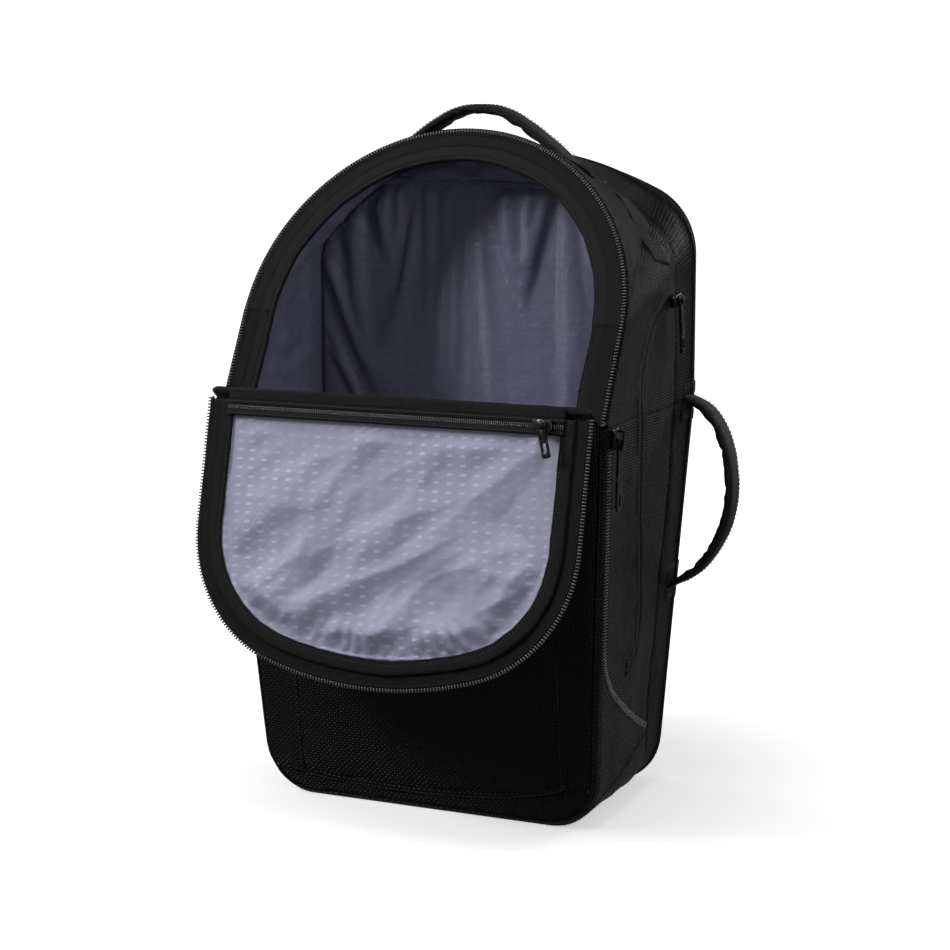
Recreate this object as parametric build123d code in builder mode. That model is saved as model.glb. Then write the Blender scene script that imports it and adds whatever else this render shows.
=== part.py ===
from build123d import *
from math import atan2, cos, degrees, hypot, radians, sin, sqrt
import os

os.makedirs("parts", exist_ok=True)

# Travel backpack, about 40 litres, standing on its base with the front flap unzipped and hanging open.
# Millimetres. Origin: middle of the base, on the floor. +Z up, -Y is the front with the zipped flap,
# +Y the back with the straps, and +X is on the right of someone who looks at the front.

# ---------------------------------------------------------------- driving dimensions
wall = 3.0                   # sewn side wall: ballistic nylon, foam and backing
lining_thick = 1.2           # nylon lining with its seam allowances
depth_front_hinge = 104.0    # front edge of the side walls at the level of the fold, ahead of the origin
depth_front_base = 70.0      # the same edge at the floor
depth_rear = 94.0            # rear edge of the side walls
seam_rear = 50.0             # seam between the main compartment and the laptop compartment
fold_height = 334.0          # level of the fold, where both main sliders stand
half_fold = 170.0            # half width of the bag at the fold
half_base_front = 150.0      # half width at the floor, front edge, before its corner is rounded
half_rear = 169.5            # half width of the rear edge, upper part
half_base_rear = 140.0       # half width at the floor, rear edge
base_corner = 45.0           # radius of the lower corners
boot_front = 17.0            # upper edge of the base boot at the front
boot_rear = 56.0             # the same edge at the seam with the laptop compartment
mouth_lean = 27.0            # the upper mouth leans back this far from upright, degrees
mouth_height = 251.0         # mouth, measured along its lean from the fold to the crown
mouth_rise = 169.0           # its arched part, above the straight sides
mouth_corner = 132.0         # shoulder radius of the mouth
rear_top = 540.0             # height of the rear edge at its crown
rear_rise = 85.0             # arched part of the rear edge, above its straight sides
rear_corner = 60.0           # shoulder radius of the rear edge
mouth_straight = mouth_height - mouth_rise
rear_straight = rear_top - fold_height - rear_rise
sole_trim = 0.3              # the walls are drawn this much too deep and cut level with the floor

front_panel_thick = 3.0
back_panel_thick = 12.0
sleeve_front = 56.0          # laptop sleeve, front face
sleeve_thick = 7.0
frame_sheet_thick = 2.0
stiffener_thick = 3.0

teeth_width = 3.0            # coil row, across
teeth_thick = 3.0
tape_width = 13.0            # zip tape, beside its teeth
tape_thick = 1.2
binding_width = 11.0
binding_thick = 2.4

band_length = 16.0           # soft band that rolls over between the two fold lines
band_thick = 3.0
bead_radius = 3.2            # rolled edge at each fold line
band_half = 164.0
band_rest = 50.0             # at rest the band points forward from upright by this angle, degrees
flap_hang = 13.0             # the flap's lower end stands out from upright by this angle, degrees
flap_short = 22.0            # the flap is this much shorter than the mouth is high
flap_rise = 121.0            # its arched part
flap_corner = 112.0
flap_length = mouth_height - flap_short
flap_straight = flap_length - flap_rise
flap_offset = 8.6            # closed flap stands this far outside the mouth
flap_panel_thick = 3.0
flap_lining_thick = 5.0
fold_gap = 0.4               # running gap at the fold lines
pocket_band_width = 13.0
pocket_band_half = 148.0

skin_gap = 0.1               # trims lie this far off the side walls
run_gap = 0.35               # running gap between moving pieces

chain_width = 9.0            # closed main zip below the fold
chain_thick = 2.0
chain_inset = 9.0            # its middle line behind the front edge
chain_turn_height = 150.0    # where it leaves the front edge
chain_turn_reach = 32.0      # pull of its curve at the turn
chain_end_reach = 74.0       # and at its rear end
chain_end_y = 47.0
chain_end_z = 60.0
side_tape_width = 15.0       # side pocket zip
side_tape_thick = 2.0
side_arc_y = 49.0            # centre of the curved top of the side pocket zip
side_arc_z = 345.0
side_arc_radius = 78.0
side_arc_start = 94.0
side_foot_y = 2.0            # lower end of the side pocket zip
side_foot_z = 150.0

slider_length = 17.0
slider_width = 10.0
slider_thick = 5.0
pull_width = 9.0
pull_thick = 2.4
main_pull_length = 58.0
side_pull_length = 44.0
pocket_pull_length = 26.0

webbing_width = 25.0
webbing_thick = 2.0
wing_width = 18.0

top_handle_half = 86.0       # half span between its sewn ends
top_handle_rise = 42.0
top_handle_width = 26.0
top_handle_thick = 8.0
top_handle_y = 36.0
top_handle_sink = 17.2       # its hinge line below the crown of the bag
side_handle_top = 336.0
side_handle_bottom = 180.0
side_handle_reach = 43.0
side_handle_width = 24.0
side_handle_thick = 8.0
side_handle_y = 80.0
side_handle_turn = 39        # carved free for this swing to each side, degrees
carve_step = 6
wing_high = 37.0             # ends of the shoulder straps below the rear crown
wing_low = 89.0
wing_high_y = 51.0
wing_low_y = 29.0

pad_width = 88.0             # back pads beside the spine channel
pad_thick = 12.0
pad_middle = 64.0
pad_bottom = 150.0
pad_top = 470.0
lumbar_half = 92.0
lumbar_bottom = 52.0
lumbar_top = 138.0
yoke_half = 112.0
yoke_bottom = 478.0
yoke_top = 506.0

strap_width = 64.0
strap_thick = 12.0
strap_top_x = 62.0
strap_low_x = 92.0
strap_top_z = 474.0
strap_low_z = 214.0
strap_clear = 5.0            # strap's upper end off the back panel
strap_bow = 62.0             # how far the strap stands out behind the pads in the middle
anchor_x = 118.0             # lower strap anchor
anchor_z = 62.0
sternum_z = 372.0
sternum_length = 42.0
sternum_width = 20.0

# ---------------------------------------------------------------- planes
slope_panel = atan2(depth_front_hinge - depth_front_base, fold_height)
panel_run = hypot(depth_front_hinge - depth_front_base, fold_height)
lean = radians(mouth_lean)

mouth_plane = Plane(
    origin=(0, -depth_front_hinge, fold_height), x_dir=(1, 0, 0), z_dir=(0, -cos(lean), sin(lean)))
panel_plane = Plane(
    origin=(0, -depth_front_base, 0), x_dir=(1, 0, 0), z_dir=(0, -cos(slope_panel), -sin(slope_panel)))
rear_plane = Plane(origin=(0, depth_rear, 0), x_dir=(1, 0, 0), z_dir=(0, -1, 0))
rear_fold_plane = Plane(origin=(0, depth_rear, fold_height), x_dir=(1, 0, 0), z_dir=(0, -1, 0))
side_plane = Plane(origin=(0, 0, 0), x_dir=(0, 1, 0), z_dir=(1, 0, 0))
seam_plane = Plane(origin=(0, seam_rear, 0), x_dir=(-1, 0, 0), z_dir=(0, 1, 0))
boot_slope = atan2(boot_rear - boot_front, seam_rear + depth_front_base)
boot_plane = Plane(
    origin=(0, -depth_front_base, boot_front), x_dir=(1, 0, 0), z_dir=(0, -sin(boot_slope), cos(boot_slope)))

# fold lines: the first on the bag, the second at the end of the rolled band
fold_y = -depth_front_hinge - flap_offset * cos(lean)
fold_z = fold_height + flap_offset * sin(lean)
crest_y = fold_y - band_length * sin(radians(band_rest))
crest_z = fold_z + band_length * cos(radians(band_rest))
hang = radians(flap_hang)
flap_plane = Plane(
    origin=(0, crest_y, crest_z), x_dir=(-1, 0, 0), z_dir=(0, -cos(hang), sin(hang)))


# ---------------------------------------------------------------- outlines
def arch(half, height, straight, corner, foot=0.0):
    """Three-centred arch on its own foot line: sides, two shoulder arcs and a crown arc."""
    rise = height - straight
    crown = ((half - corner) ** 2 + rise ** 2 - corner ** 2) / (2 * (rise - corner))
    drop = crown - rise
    turn = degrees(atan2(drop, half - corner))
    with BuildSketch() as face:
        with BuildLine():
            Polyline((-half, straight), (-half, foot), (half, foot), (half, straight))
            CenterArc((half - corner, straight), corner, 0, turn)
            CenterArc((0, straight - drop), crown, turn, 180 - 2 * turn)
            CenterArc((corner - half, straight), corner, 180 - turn, turn)
        make_face()
    return face.sketch


def trough(top, half_top, half_low, grow):
    """Tapered outline open at the top line, with its two lower corners rounded."""
    taper = (half_top - half_low) / top
    half_high = half_top - taper * grow
    high = top - grow
    with BuildSketch() as face:
        with BuildLine():
            Polyline((-half_high, high), (-half_low, -sole_trim), (half_low, -sole_trim),
                     (half_high, high), close=True)
        make_face()
        fillet(face.vertices().sort_by(Axis.Y)[0:2], base_corner)
        if grow:
            offset(amount=grow, kind=Kind.INTERSECTION, mode=Mode.REPLACE)
    return face.sketch


def stretch(grow, half_top, half_low, top):
    """Sideways growth of a tapered outline at its top line."""
    return grow * sqrt(1 + ((half_top - half_low) / top) ** 2)


def upper_body(grow=0.0):
    """Solid between the mouth and the rear edge, above the fold."""
    with BuildPart() as solid:
        with BuildSketch(mouth_plane):
            half = half_fold + stretch(grow, half_fold, half_base_front, panel_run)
            add(arch(half, mouth_height + grow, mouth_straight, mouth_corner + grow))
        with BuildSketch(rear_fold_plane):
            half = half_rear + stretch(grow, half_rear, half_base_rear, fold_height)
            add(arch(half, rear_top - fold_height + grow, rear_straight, rear_corner + grow))
        loft(ruled=True)
    return solid.part


def lower_body(grow=0.0):
    """Solid between the front panel and the rear edge, below the fold."""
    with BuildPart() as solid:
        with BuildSketch(panel_plane):
            add(trough(panel_run, half_fold, half_base_front, grow))
        with BuildSketch(rear_plane):
            add(trough(fold_height, half_rear, half_base_rear, grow))
        loft(ruled=True)
        split(bisect_by=Plane.XY, keep=Keep.TOP)
    return solid.part


outer_upper = upper_body()
outer_lower = lower_body()
inner_upper = upper_body(-wall)
inner_lower = lower_body(-wall)
core_upper = upper_body(-wall - lining_thick)
core_lower = lower_body(-wall - lining_thick)
skin_near = upper_body(skin_gap) + lower_body(skin_gap)


def save(part, name):
    part.label = name
    export_step(part, "parts/" + name + ".step")


# ---------------------------------------------------------------- sewn shell
with BuildPart() as top_gusset:
    add(outer_upper)
    add(inner_upper, mode=Mode.SUBTRACT)
    split(bisect_by=seam_plane, keep=Keep.BOTTOM)
save(top_gusset.part, "top_gusset")

with BuildPart() as lower_wall:
    add(outer_lower)
    add(inner_lower, mode=Mode.SUBTRACT)
    split(bisect_by=seam_plane, keep=Keep.BOTTOM)

with BuildPart() as base_panel:
    add(lower_wall.part)
    split(bisect_by=boot_plane, keep=Keep.BOTTOM)
save(base_panel.part, "base_panel")

for side, keep in (("right", Keep.TOP), ("left", Keep.BOTTOM)):
    with BuildPart() as side_panel:
        add(lower_wall.part)
        split(bisect_by=boot_plane, keep=Keep.TOP)
        split(bisect_by=Plane.YZ, keep=keep)
    save(side_panel.part, "side_panel_" + side)

with BuildPart() as rear_gusset:
    add(outer_upper)
    add(outer_lower)
    add(inner_upper, mode=Mode.SUBTRACT)
    add(inner_lower, mode=Mode.SUBTRACT)
    split(bisect_by=seam_plane, keep=Keep.TOP)
save(rear_gusset.part, "rear_gusset")

with BuildPart() as front_lower_panel:
    with BuildSketch(panel_plane):
        add(trough(panel_run, half_fold, half_base_front, 0.0))
    extrude(amount=front_panel_thick)
    split(bisect_by=Plane.XY, keep=Keep.TOP)
save(front_lower_panel.part, "front_lower_panel")

with BuildPart() as back_panel:
    with BuildSketch(rear_plane):
        add(trough(fold_height, half_rear, half_base_rear, 0.0))
    with BuildSketch(rear_fold_plane):
        add(arch(half_rear, rear_top - fold_height, rear_straight, rear_corner))
    extrude(amount=-back_panel_thick)
    split(bisect_by=Plane.XY, keep=Keep.TOP)
save(back_panel.part, "back_panel")

with BuildPart() as main_lining:
    add(inner_upper)
    add(inner_lower)
    add(core_upper, mode=Mode.SUBTRACT)
    add(core_lower, mode=Mode.SUBTRACT)
save(main_lining.part, "main_lining")


def cross_slab(front, thick):
    """Slab across the inside of the bag, cut to the lining."""
    with BuildPart() as slab:
        with BuildSketch(Plane(origin=(0, front, 0), x_dir=(1, 0, 0), z_dir=(0, -1, 0))):
            with Locations((0, rear_top / 2)):
                Rectangle(3 * half_fold, 2 * rear_top)
        extrude(amount=-thick)
        add(core_upper + core_lower, mode=Mode.INTERSECT)
    return slab.part


save(cross_slab(sleeve_front, sleeve_thick), "laptop_sleeve")
save(cross_slab(depth_rear - frame_sheet_thick, frame_sheet_thick), "frame_sheet")

with BuildPart() as base_stiffener:
    with BuildSketch(Plane.XY.offset(wall + lining_thick)):
        Rectangle(3 * half_fold, 2 * sleeve_front)
    extrude(amount=stiffener_thick)
    add(core_lower, mode=Mode.INTERSECT)
save(base_stiffener.part, "base_stiffener")


# ---------------------------------------------------------------- mouth: binding, tape and coil
def mouth_outline(inset, foot=0.0):
    return arch(half_fold - inset, mouth_height - inset, mouth_straight, mouth_corner - inset, foot)


def flap_outline(inset, foot):
    return arch(half_fold - inset, flap_length - inset, flap_straight, flap_corner - inset, foot)


def rim_band(outline, plane, inset_out, inset_in, low, high):
    """Band along an arched rim, between two insets and two levels, open along the foot line."""
    with BuildPart() as band:
        with BuildSketch(plane.offset(low)):
            add(outline(inset_out, 0.0))
            add(outline(inset_in, -1.0), mode=Mode.SUBTRACT)
        extrude(amount=high - low)
    return band.part


tape_in = teeth_width + tape_width
binding_in = tape_in + binding_width
save(rim_band(mouth_outline, mouth_plane, 0.0, teeth_width, 0.0, teeth_thick), "main_zip_teeth")
save(rim_band(mouth_outline, mouth_plane, teeth_width, tape_in, 0.0, tape_thick), "main_zip_tape")
save(rim_band(mouth_outline, mouth_plane, tape_in - 2.0, binding_in, -binding_thick, 0.0),
     "opening_binding")

# ---------------------------------------------------------------- fold and flap
hem_gap = bead_radius + fold_gap
hem_height = 15.5
hem_above = 1.5              # the hem's upper edge cradles the bead
hem_thick = 6.0
with BuildPart() as front_hem:
    with BuildSketch(panel_plane.offset(front_panel_thick)):
        with Locations((0, panel_run + hem_above - hem_height / 2)):
            Rectangle(2 * band_half, hem_height)
    extrude(amount=hem_thick)
    with BuildSketch(Plane(origin=(-band_half - 5, fold_y, fold_z), x_dir=(0, 1, 0), z_dir=(1, 0, 0))):
        Circle(hem_gap)
    extrude(amount=2 * band_half + 10, mode=Mode.SUBTRACT)
save(front_hem.part, "front_hem")

band_dir = radians(band_rest)
with BuildPart() as fold_band:
    with BuildSketch(Plane(origin=(-band_half, 0, 0), x_dir=(0, 1, 0), z_dir=(1, 0, 0))):
        with BuildLine():
            Line((fold_y, fold_z), (crest_y, crest_z))
        trace(line_width=band_thick)
        with Locations((fold_y, fold_z), (crest_y, crest_z)):
            Circle(bead_radius)
    extrude(amount=2 * band_half)
save(fold_band.part, "fold_band")

panel_in = teeth_width + 3.0
flap_start = bead_radius + fold_gap
with BuildPart() as flap_panel:
    with BuildSketch(flap_plane.offset(-flap_panel_thick)):
        add(flap_outline(panel_in, flap_start))
    extrude(amount=flap_panel_thick)
save(flap_panel.part, "flap_panel")

with BuildPart() as flap_lining:
    with BuildSketch(flap_plane):
        add(flap_outline(binding_in, flap_start))
    extrude(amount=flap_lining_thick)
save(flap_lining.part, "flap_lining")


def flap_ring(inset_out, inset_in, low, high):
    """Band round the flap's rim, cut off just below the crest."""
    with BuildPart() as ring:
        add(rim_band(flap_outline, flap_plane, inset_out, inset_in, low, high))
        split(bisect_by=Plane(
            origin=(0, crest_y - flap_start * sin(hang), crest_z - flap_start * cos(hang)),
            x_dir=(1, 0, 0), z_dir=(0, -sin(hang), -cos(hang))), keep=Keep.TOP)
    return ring.part


save(flap_ring(0.0, teeth_width, -1.0, teeth_thick - 1.0), "flap_zip_teeth")
save(flap_ring(teeth_width, tape_in, 0.0, tape_thick), "flap_zip_tape")
save(flap_ring(tape_in - 2.0, binding_in, tape_thick, tape_thick + binding_thick), "flap_binding")

pocket_middle = flap_start + 3.0 + pocket_band_width / 2
with BuildPart() as pocket_zip_tape:
    with BuildSketch(flap_plane.offset(flap_lining_thick)):
        with Locations((0, pocket_middle)):
            Rectangle(2 * pocket_band_half, pocket_band_width)
    extrude(amount=tape_thick)
save(pocket_zip_tape.part, "pocket_zip_tape")


# ---------------------------------------------------------------- trims that follow the side walls
def wall_trim(thick, sign, width, path):
    """A band drawn on the side view and laid on the side wall, thick millimetres proud."""
    outside = upper_body(skin_gap + thick) + lower_body(skin_gap + thick)
    with BuildPart() as trim:
        with BuildSketch(side_plane):
            trace(path, line_width=width)
        extrude(amount=sign * 2 * half_fold)
        add(outside, mode=Mode.INTERSECT)
        add(skin_near, mode=Mode.SUBTRACT)
    return trim.part


def front_edge(height):
    return -depth_front_base - (depth_front_hinge - depth_front_base) * height / fold_height


chain_top = (front_edge(fold_height) + chain_inset, fold_height - 1.0)
chain_turn = (front_edge(chain_turn_height) + chain_inset, chain_turn_height)
with BuildLine() as chain_path:
    Line(chain_top, chain_turn)
    Bezier(chain_turn, (chain_turn[0] + 3.0, chain_turn[1] - chain_turn_reach),
           (chain_end_y - chain_end_reach, chain_end_z + 0.42 * chain_end_reach), (chain_end_y, chain_end_z))

side_knee = (side_arc_y - side_arc_radius, side_arc_z)
side_foot = (side_foot_y, side_foot_z)
with BuildLine() as side_zip_path:
    CenterArc((side_arc_y, side_arc_z), side_arc_radius, side_arc_start, 180 - side_arc_start)
    Spline(side_knee, (-11.0, 240.0), side_foot, tangents=((0, -1), (0, -1)))
    TangentArc(side_foot, (side_foot_y - 25.0, side_foot_z - 26.0), tangent=(0, -1))

for side, sign in (("right", 1), ("left", -1)):
    save(wall_trim(chain_thick, sign, chain_width, chain_path.line), "lower_chain_" + side)
    save(wall_trim(side_tape_thick, sign, side_tape_width, side_zip_path.line), "side_zip_tape_" + side)


def wall_point(sign, y, z):
    """Point of the side wall's outer face and its outward direction, at a place on the side view."""
    solid = outer_upper if z > fold_height else outer_lower
    hits = solid.find_intersection_points(Axis((0, y, z), (sign, 0, 0)))
    point, normal = max(hits, key=lambda hit: sign * hit[0].X)
    return point, normal if sign * normal.X > 0 else -normal


# ---------------------------------------------------------------- sliders and pulls
def slider_body(plane):
    """Diamond-fronted slider case; the plane's x is its travel, z points off the fabric."""
    with BuildPart() as case:
        with BuildSketch(plane):
            RectangleRounded(slider_length, slider_width, 3.0)
        extrude(amount=slider_thick)
        chamfer(case.faces().sort_by(Axis(plane.origin, plane.z_dir))[-1].edges(), 0.8)
    return case.part


bridge_inside = 4.0
pull_heel = 1.3              # the pull's end behind its cross bar
bridge_thick = 1.8
bridge_half = 1.5
bridge_span = 6.0
post_thick = 2.0
bar_radius = 1.2
tab_half_thick = 1.0
bar_level = bridge_inside / 2
slot_half = bridge_half + run_gap + 0.4
slot_end = bridge_span + post_thick + run_gap + 1.1


def bridge_slider(plane):
    """Slider with an arched bridge that a pull's cross bar runs under."""
    with BuildPart() as slider:
        add(slider_body(plane))
        with BuildSketch(plane.offset(slider_thick)):
            with Locations((bridge_span + post_thick / 2, 0), (-bridge_span - post_thick / 2, 0)):
                Rectangle(post_thick, 2 * bridge_half)
        extrude(amount=bridge_inside)
        with BuildSketch(plane.offset(slider_thick + bridge_inside)):
            Rectangle(2 * (bridge_span + post_thick), 2 * bridge_half)
        extrude(amount=bridge_thick)
    return slider.part


def bridge_pull(plane, length):
    """Long pull tab with a slot that clears the bridge, and a cross bar that runs under it."""
    with BuildPart() as pull:
        with BuildSketch(plane.offset(slider_thick + bar_level - tab_half_thick)):
            with BuildLine():
                Polyline((-pull_heel, -pull_width / 2), (length - 4.0, -pull_width / 2),
                         (length, -pull_width / 4), (length, pull_width / 4),
                         (length - 4.0, pull_width / 2), (-pull_heel, pull_width / 2), close=True)
            make_face()
            with Locations((slot_end / 2, 0)):
                Rectangle(slot_end, 2 * slot_half, mode=Mode.SUBTRACT)
            with Locations((length - 9.0, 0)):
                SlotOverall(9.0, 3.6, mode=Mode.SUBTRACT)
        extrude(amount=2 * tab_half_thick)
        axis_plane = Plane(
            origin=plane.from_local_coords((0, -pull_width / 2, slider_thick + bar_level)),
            x_dir=plane.x_dir, z_dir=plane.y_dir)
        with BuildSketch(axis_plane):
            Circle(bar_radius)
        extrude(amount=pull_width)
    return pull.part


stud_radius = 1.6
stud_cap = 3.0
stud_cap_thick = 1.2


def stud_slider(plane):
    """Slider with a headed stud that a ring-ended pull swings on."""
    with BuildPart() as slider:
        add(slider_body(plane))
        with BuildSketch(plane.offset(slider_thick)):
            Circle(stud_radius)
        extrude(amount=pull_thick + 2 * run_gap)
        with BuildSketch(plane.offset(slider_thick + pull_thick + 2 * run_gap)):
            Circle(stud_cap)
        extrude(amount=stud_cap_thick)
    return slider.part


def stud_pull(plane, way, length):
    """Ring-ended pull tab; way is its direction on the plane."""
    with BuildPart() as pull:
        turned = Plane(origin=plane.origin, x_dir=way, z_dir=plane.z_dir)
        with BuildSketch(turned.offset(slider_thick + run_gap)):
            Circle(pull_width / 2)
            with Locations((length / 2, 0)):
                RectangleRounded(length, pull_width * 0.72, 1.8)
            Circle(stud_radius + run_gap, mode=Mode.SUBTRACT)
            with Locations((length - 8.0, 0)):
                SlotOverall(8.0, 3.2, mode=Mode.SUBTRACT)
        extrude(amount=pull_thick)
    return pull.part


main_rest_z = fold_height - 9.0
main_stand = skin_gap + chain_thick + 0.6
side_slider_angle = side_arc_start + 6.0
side_stand = skin_gap + side_tape_thick + 0.9
for side, sign in (("right", 1), ("left", -1)):
    start, facing = wall_point(sign, front_edge(main_rest_z) + chain_inset, main_rest_z)
    low = wall_point(sign, front_edge(chain_turn_height) + chain_inset, chain_turn_height)[0]
    travel = (low - start).normalized()
    facing = (facing - travel * facing.dot(travel)).normalized()
    slider_plane = Plane(origin=start + facing * main_stand, x_dir=travel, z_dir=facing)
    save(bridge_slider(slider_plane), "main_slider_" + side)
    save(bridge_pull(slider_plane, main_pull_length), "main_pull_" + side)
    pin = slider_plane.from_local_coords((0, 0, slider_thick + bar_level))
    print("main slider", side, "travel", tuple(travel), "axis", tuple(slider_plane.y_dir), "pin", tuple(pin))

    angle = radians(side_slider_angle)
    place_y = side_arc_y + side_arc_radius * cos(angle)
    place_z = side_arc_z + side_arc_radius * sin(angle)
    start, facing = wall_point(sign, place_y, place_z)
    side_slider_plane = Plane(
        origin=(start.X + sign * side_stand, place_y, place_z),
        x_dir=(0, -sin(angle), cos(angle)), z_dir=(sign, 0, 0))
    save(stud_slider(side_slider_plane), "side_slider_" + side)
    save(stud_pull(side_slider_plane, (0, 0.12, -0.99), side_pull_length), "side_pull_" + side)
    print("side slider", side, "at", tuple(side_slider_plane.origin))

pocket_slider_x = -pocket_band_half + 16.0
pocket_face = flap_lining_thick + tape_thick + run_gap
pocket_plane = Plane(
    origin=flap_plane.from_local_coords((pocket_slider_x, pocket_middle, pocket_face)),
    x_dir=(-1, 0, 0), z_dir=flap_plane.z_dir)
save(stud_slider(pocket_plane), "pocket_slider")
save(stud_pull(pocket_plane, flap_plane.y_dir * 0.95 + Vector(0.3, 0, 0), pocket_pull_length), "pocket_pull")
print("pocket slider at", tuple(pocket_plane.origin))

# ---------------------------------------------------------------- handles
patch_thick = 2.0
crown_front_y = mouth_height * sin(lean) - depth_front_hinge
crown_front_z = mouth_height * cos(lean) + fold_height
crown_fall = (crown_front_z - rear_top) / (depth_rear - crown_front_y)
top_handle_z = crown_front_z - crown_fall * (top_handle_y - crown_front_y) - top_handle_sink
patch_body = upper_body(skin_gap + patch_thick) + lower_body(skin_gap + patch_thick)
clear_body = (upper_body(skin_gap + patch_thick + run_gap)
              + lower_body(skin_gap + patch_thick + run_gap))

with BuildPart() as back_block:
    with BuildSketch(Plane(origin=(0, depth_rear - run_gap, 0), x_dir=(1, 0, 0), z_dir=(0, -1, 0))):
        with Locations((0, rear_top / 2)):
            Rectangle(2 * half_rear + 2 * run_gap, rear_top)
    extrude(amount=-back_panel_thick - 2 * run_gap)
clear_back = back_block.part

with BuildPart() as top_handle_anchors:
    with BuildSketch(Plane.XY.offset(rear_top - 60)):
        with Locations((top_handle_half - 4, top_handle_y), (4 - top_handle_half, top_handle_y)):
            Rectangle(44.0, top_handle_width + 6)
    extrude(amount=120)
    add(patch_body, mode=Mode.INTERSECT)
    add(skin_near, mode=Mode.SUBTRACT)
save(top_handle_anchors.part, "top_handle_anchors")

top_handle_axis = Axis((0, top_handle_y, top_handle_z), (1, 0, 0))
top_handle_turns = (0, 12, 24, 36, -10, -21)     # the body as the folding handle meets it
with BuildPart() as top_handle:
    with BuildSketch(Plane(origin=(0, top_handle_y, 0), x_dir=(1, 0, 0), z_dir=(0, -1, 0))):
        with BuildLine():
            ThreePointArc((-top_handle_half - 8, top_handle_z - 12),
                          (0, top_handle_z + top_handle_rise),
                          (top_handle_half + 8, top_handle_z - 12))
        trace(line_width=top_handle_thick)
    extrude(amount=top_handle_width / 2, both=True)
    for turn in top_handle_turns:
        add(clear_body.rotate(top_handle_axis, turn), mode=Mode.SUBTRACT)
save(top_handle.part, "top_handle")

with BuildPart() as side_handle_anchors:
    with BuildSketch(side_plane):
        with Locations((side_handle_y, side_handle_top - 2), (side_handle_y, side_handle_bottom + 2)):
            Rectangle(side_handle_width + 4, 36.0)
    extrude(amount=2 * half_fold)
    add(patch_body, mode=Mode.INTERSECT)
    add(skin_near, mode=Mode.SUBTRACT)
save(side_handle_anchors.part, "side_handle_anchors")

handle_middle = (side_handle_top + side_handle_bottom) / 2
patch_face = Vector(skin_gap + patch_thick, 0, 0)
high_wall = wall_point(1, side_handle_y, side_handle_top)[0] + patch_face
low_wall = wall_point(1, side_handle_y, side_handle_bottom)[0] + patch_face
side_handle_axis = Axis(low_wall, high_wall - low_wall)
with BuildPart() as side_handle:
    with BuildSketch(Plane(origin=(0, side_handle_y, 0), x_dir=(1, 0, 0), z_dir=(0, -1, 0))):
        with BuildLine():
            ThreePointArc((high_wall.X - 6, side_handle_top + 4),
                          (high_wall.X + side_handle_reach - 2, handle_middle + 6),
                          (low_wall.X - 6, side_handle_bottom - 4))
        trace(line_width=side_handle_thick)
    extrude(amount=side_handle_width / 2, both=True)
    for turn in range(-side_handle_turn, side_handle_turn + 1, carve_step):
        add(clear_body.rotate(side_handle_axis, turn), mode=Mode.SUBTRACT)
        add(clear_back.rotate(side_handle_axis, turn), mode=Mode.SUBTRACT)
save(side_handle.part, "side_handle")
print("side handle ends", tuple(high_wall), tuple(low_wall))

# ---------------------------------------------------------------- wing straps on the shoulders
with BuildLine() as wing_path:
    Line((wing_high_y, rear_top - wing_high), (wing_low_y, rear_top - wing_low))
for side, sign in (("right", 1), ("left", -1)):
    save(wall_trim(webbing_thick, sign, wing_width, wing_path.line), "wing_strap_" + side)

# ---------------------------------------------------------------- back: pads, yoke and straps
back_face = depth_rear + back_panel_thick
back_plane = Plane(origin=(0, back_face, 0), x_dir=(-1, 0, 0), z_dir=(0, 1, 0))


def back_pad(x, low, high, width, thick):
    with BuildPart() as pad:
        with BuildSketch(back_plane):
            with Locations((-x, (low + high) / 2)):
                RectangleRounded(width, high - low, 16.0)
        extrude(amount=thick)
        chamfer(pad.faces().sort_by(Axis.Y)[-1].edges(), 3.0)
    return pad.part


for side, sign in (("right", 1), ("left", -1)):
    save(back_pad(sign * pad_middle, pad_bottom, pad_top - 16, pad_width, pad_thick), "back_pad_" + side)
save(back_pad(0, lumbar_bottom, lumbar_top, 2 * lumbar_half, pad_thick), "lumbar_pad")
with BuildPart() as strap_yoke:
    with BuildSketch(back_plane):
        with Locations((0, (yoke_bottom + yoke_top) / 2)):
            RectangleRounded(2 * yoke_half, yoke_top - yoke_bottom, 6.0)
    extrude(amount=strap_thick)
save(strap_yoke.part, "strap_yoke")

strap_face = back_face + strap_thick         # hinge line of the straps, on the yoke's rear face
strap_top_y = back_face + strap_clear + strap_thick / 2
strap_low_y = back_face + pad_thick + 8.0
strap_mid_z = (strap_top_z + strap_low_z) / 2
with BuildLine() as bow_path:
    bow = ThreePointArc(
        (strap_top_y, yoke_bottom), (back_face + strap_bow, strap_mid_z), (strap_low_y, strap_low_z))


def bowed_sheet(near, far):
    """Sheet that follows the strap's bow, between two levels off its middle line."""
    with BuildPart() as sheet:
        with BuildSketch(side_plane):
            with Locations((bow.arc_center.X, bow.arc_center.Y)):
                Circle(bow.radius + far)
                Circle(bow.radius + near, mode=Mode.SUBTRACT)
        extrude(amount=half_fold, both=True)
    return sheet.part


strap_half = strap_thick / 2
rail_thick = 2.5
rail_x = strap_top_x + 16.0
rail_width = 10.0
adjuster_height = 26.0
adjuster_thick = 7.0
anchor_height = 28.0
anchor_thick = 3.0
clip_width = 26.0
clip_height = 26.0
clip_thick = 7.0
keeper_height = 14.0
keeper_thick = 4.0
webbing_gap = 1.7
hook_thick = 3.0
tail_drop = 3.6              # webbing comes out this far under the adjuster
rail_radius = bow.radius + strap_half + rail_thick
keeper_width = sternum_width + 2.0
keeper_reach = sqrt(keeper_width ** 2 + keeper_height ** 2 - rail_width ** 2) / 2
keeper_drop = max(0.0, sternum_z - keeper_reach - bow.arc_center.Y)
sternum_y = bow.arc_center.X + sqrt(rail_radius ** 2 - keeper_drop ** 2) + run_gap
strap_sheet = bowed_sheet(-strap_half, strap_half)
rail_sheet = bowed_sheet(strap_half, strap_half + rail_thick)
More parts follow.
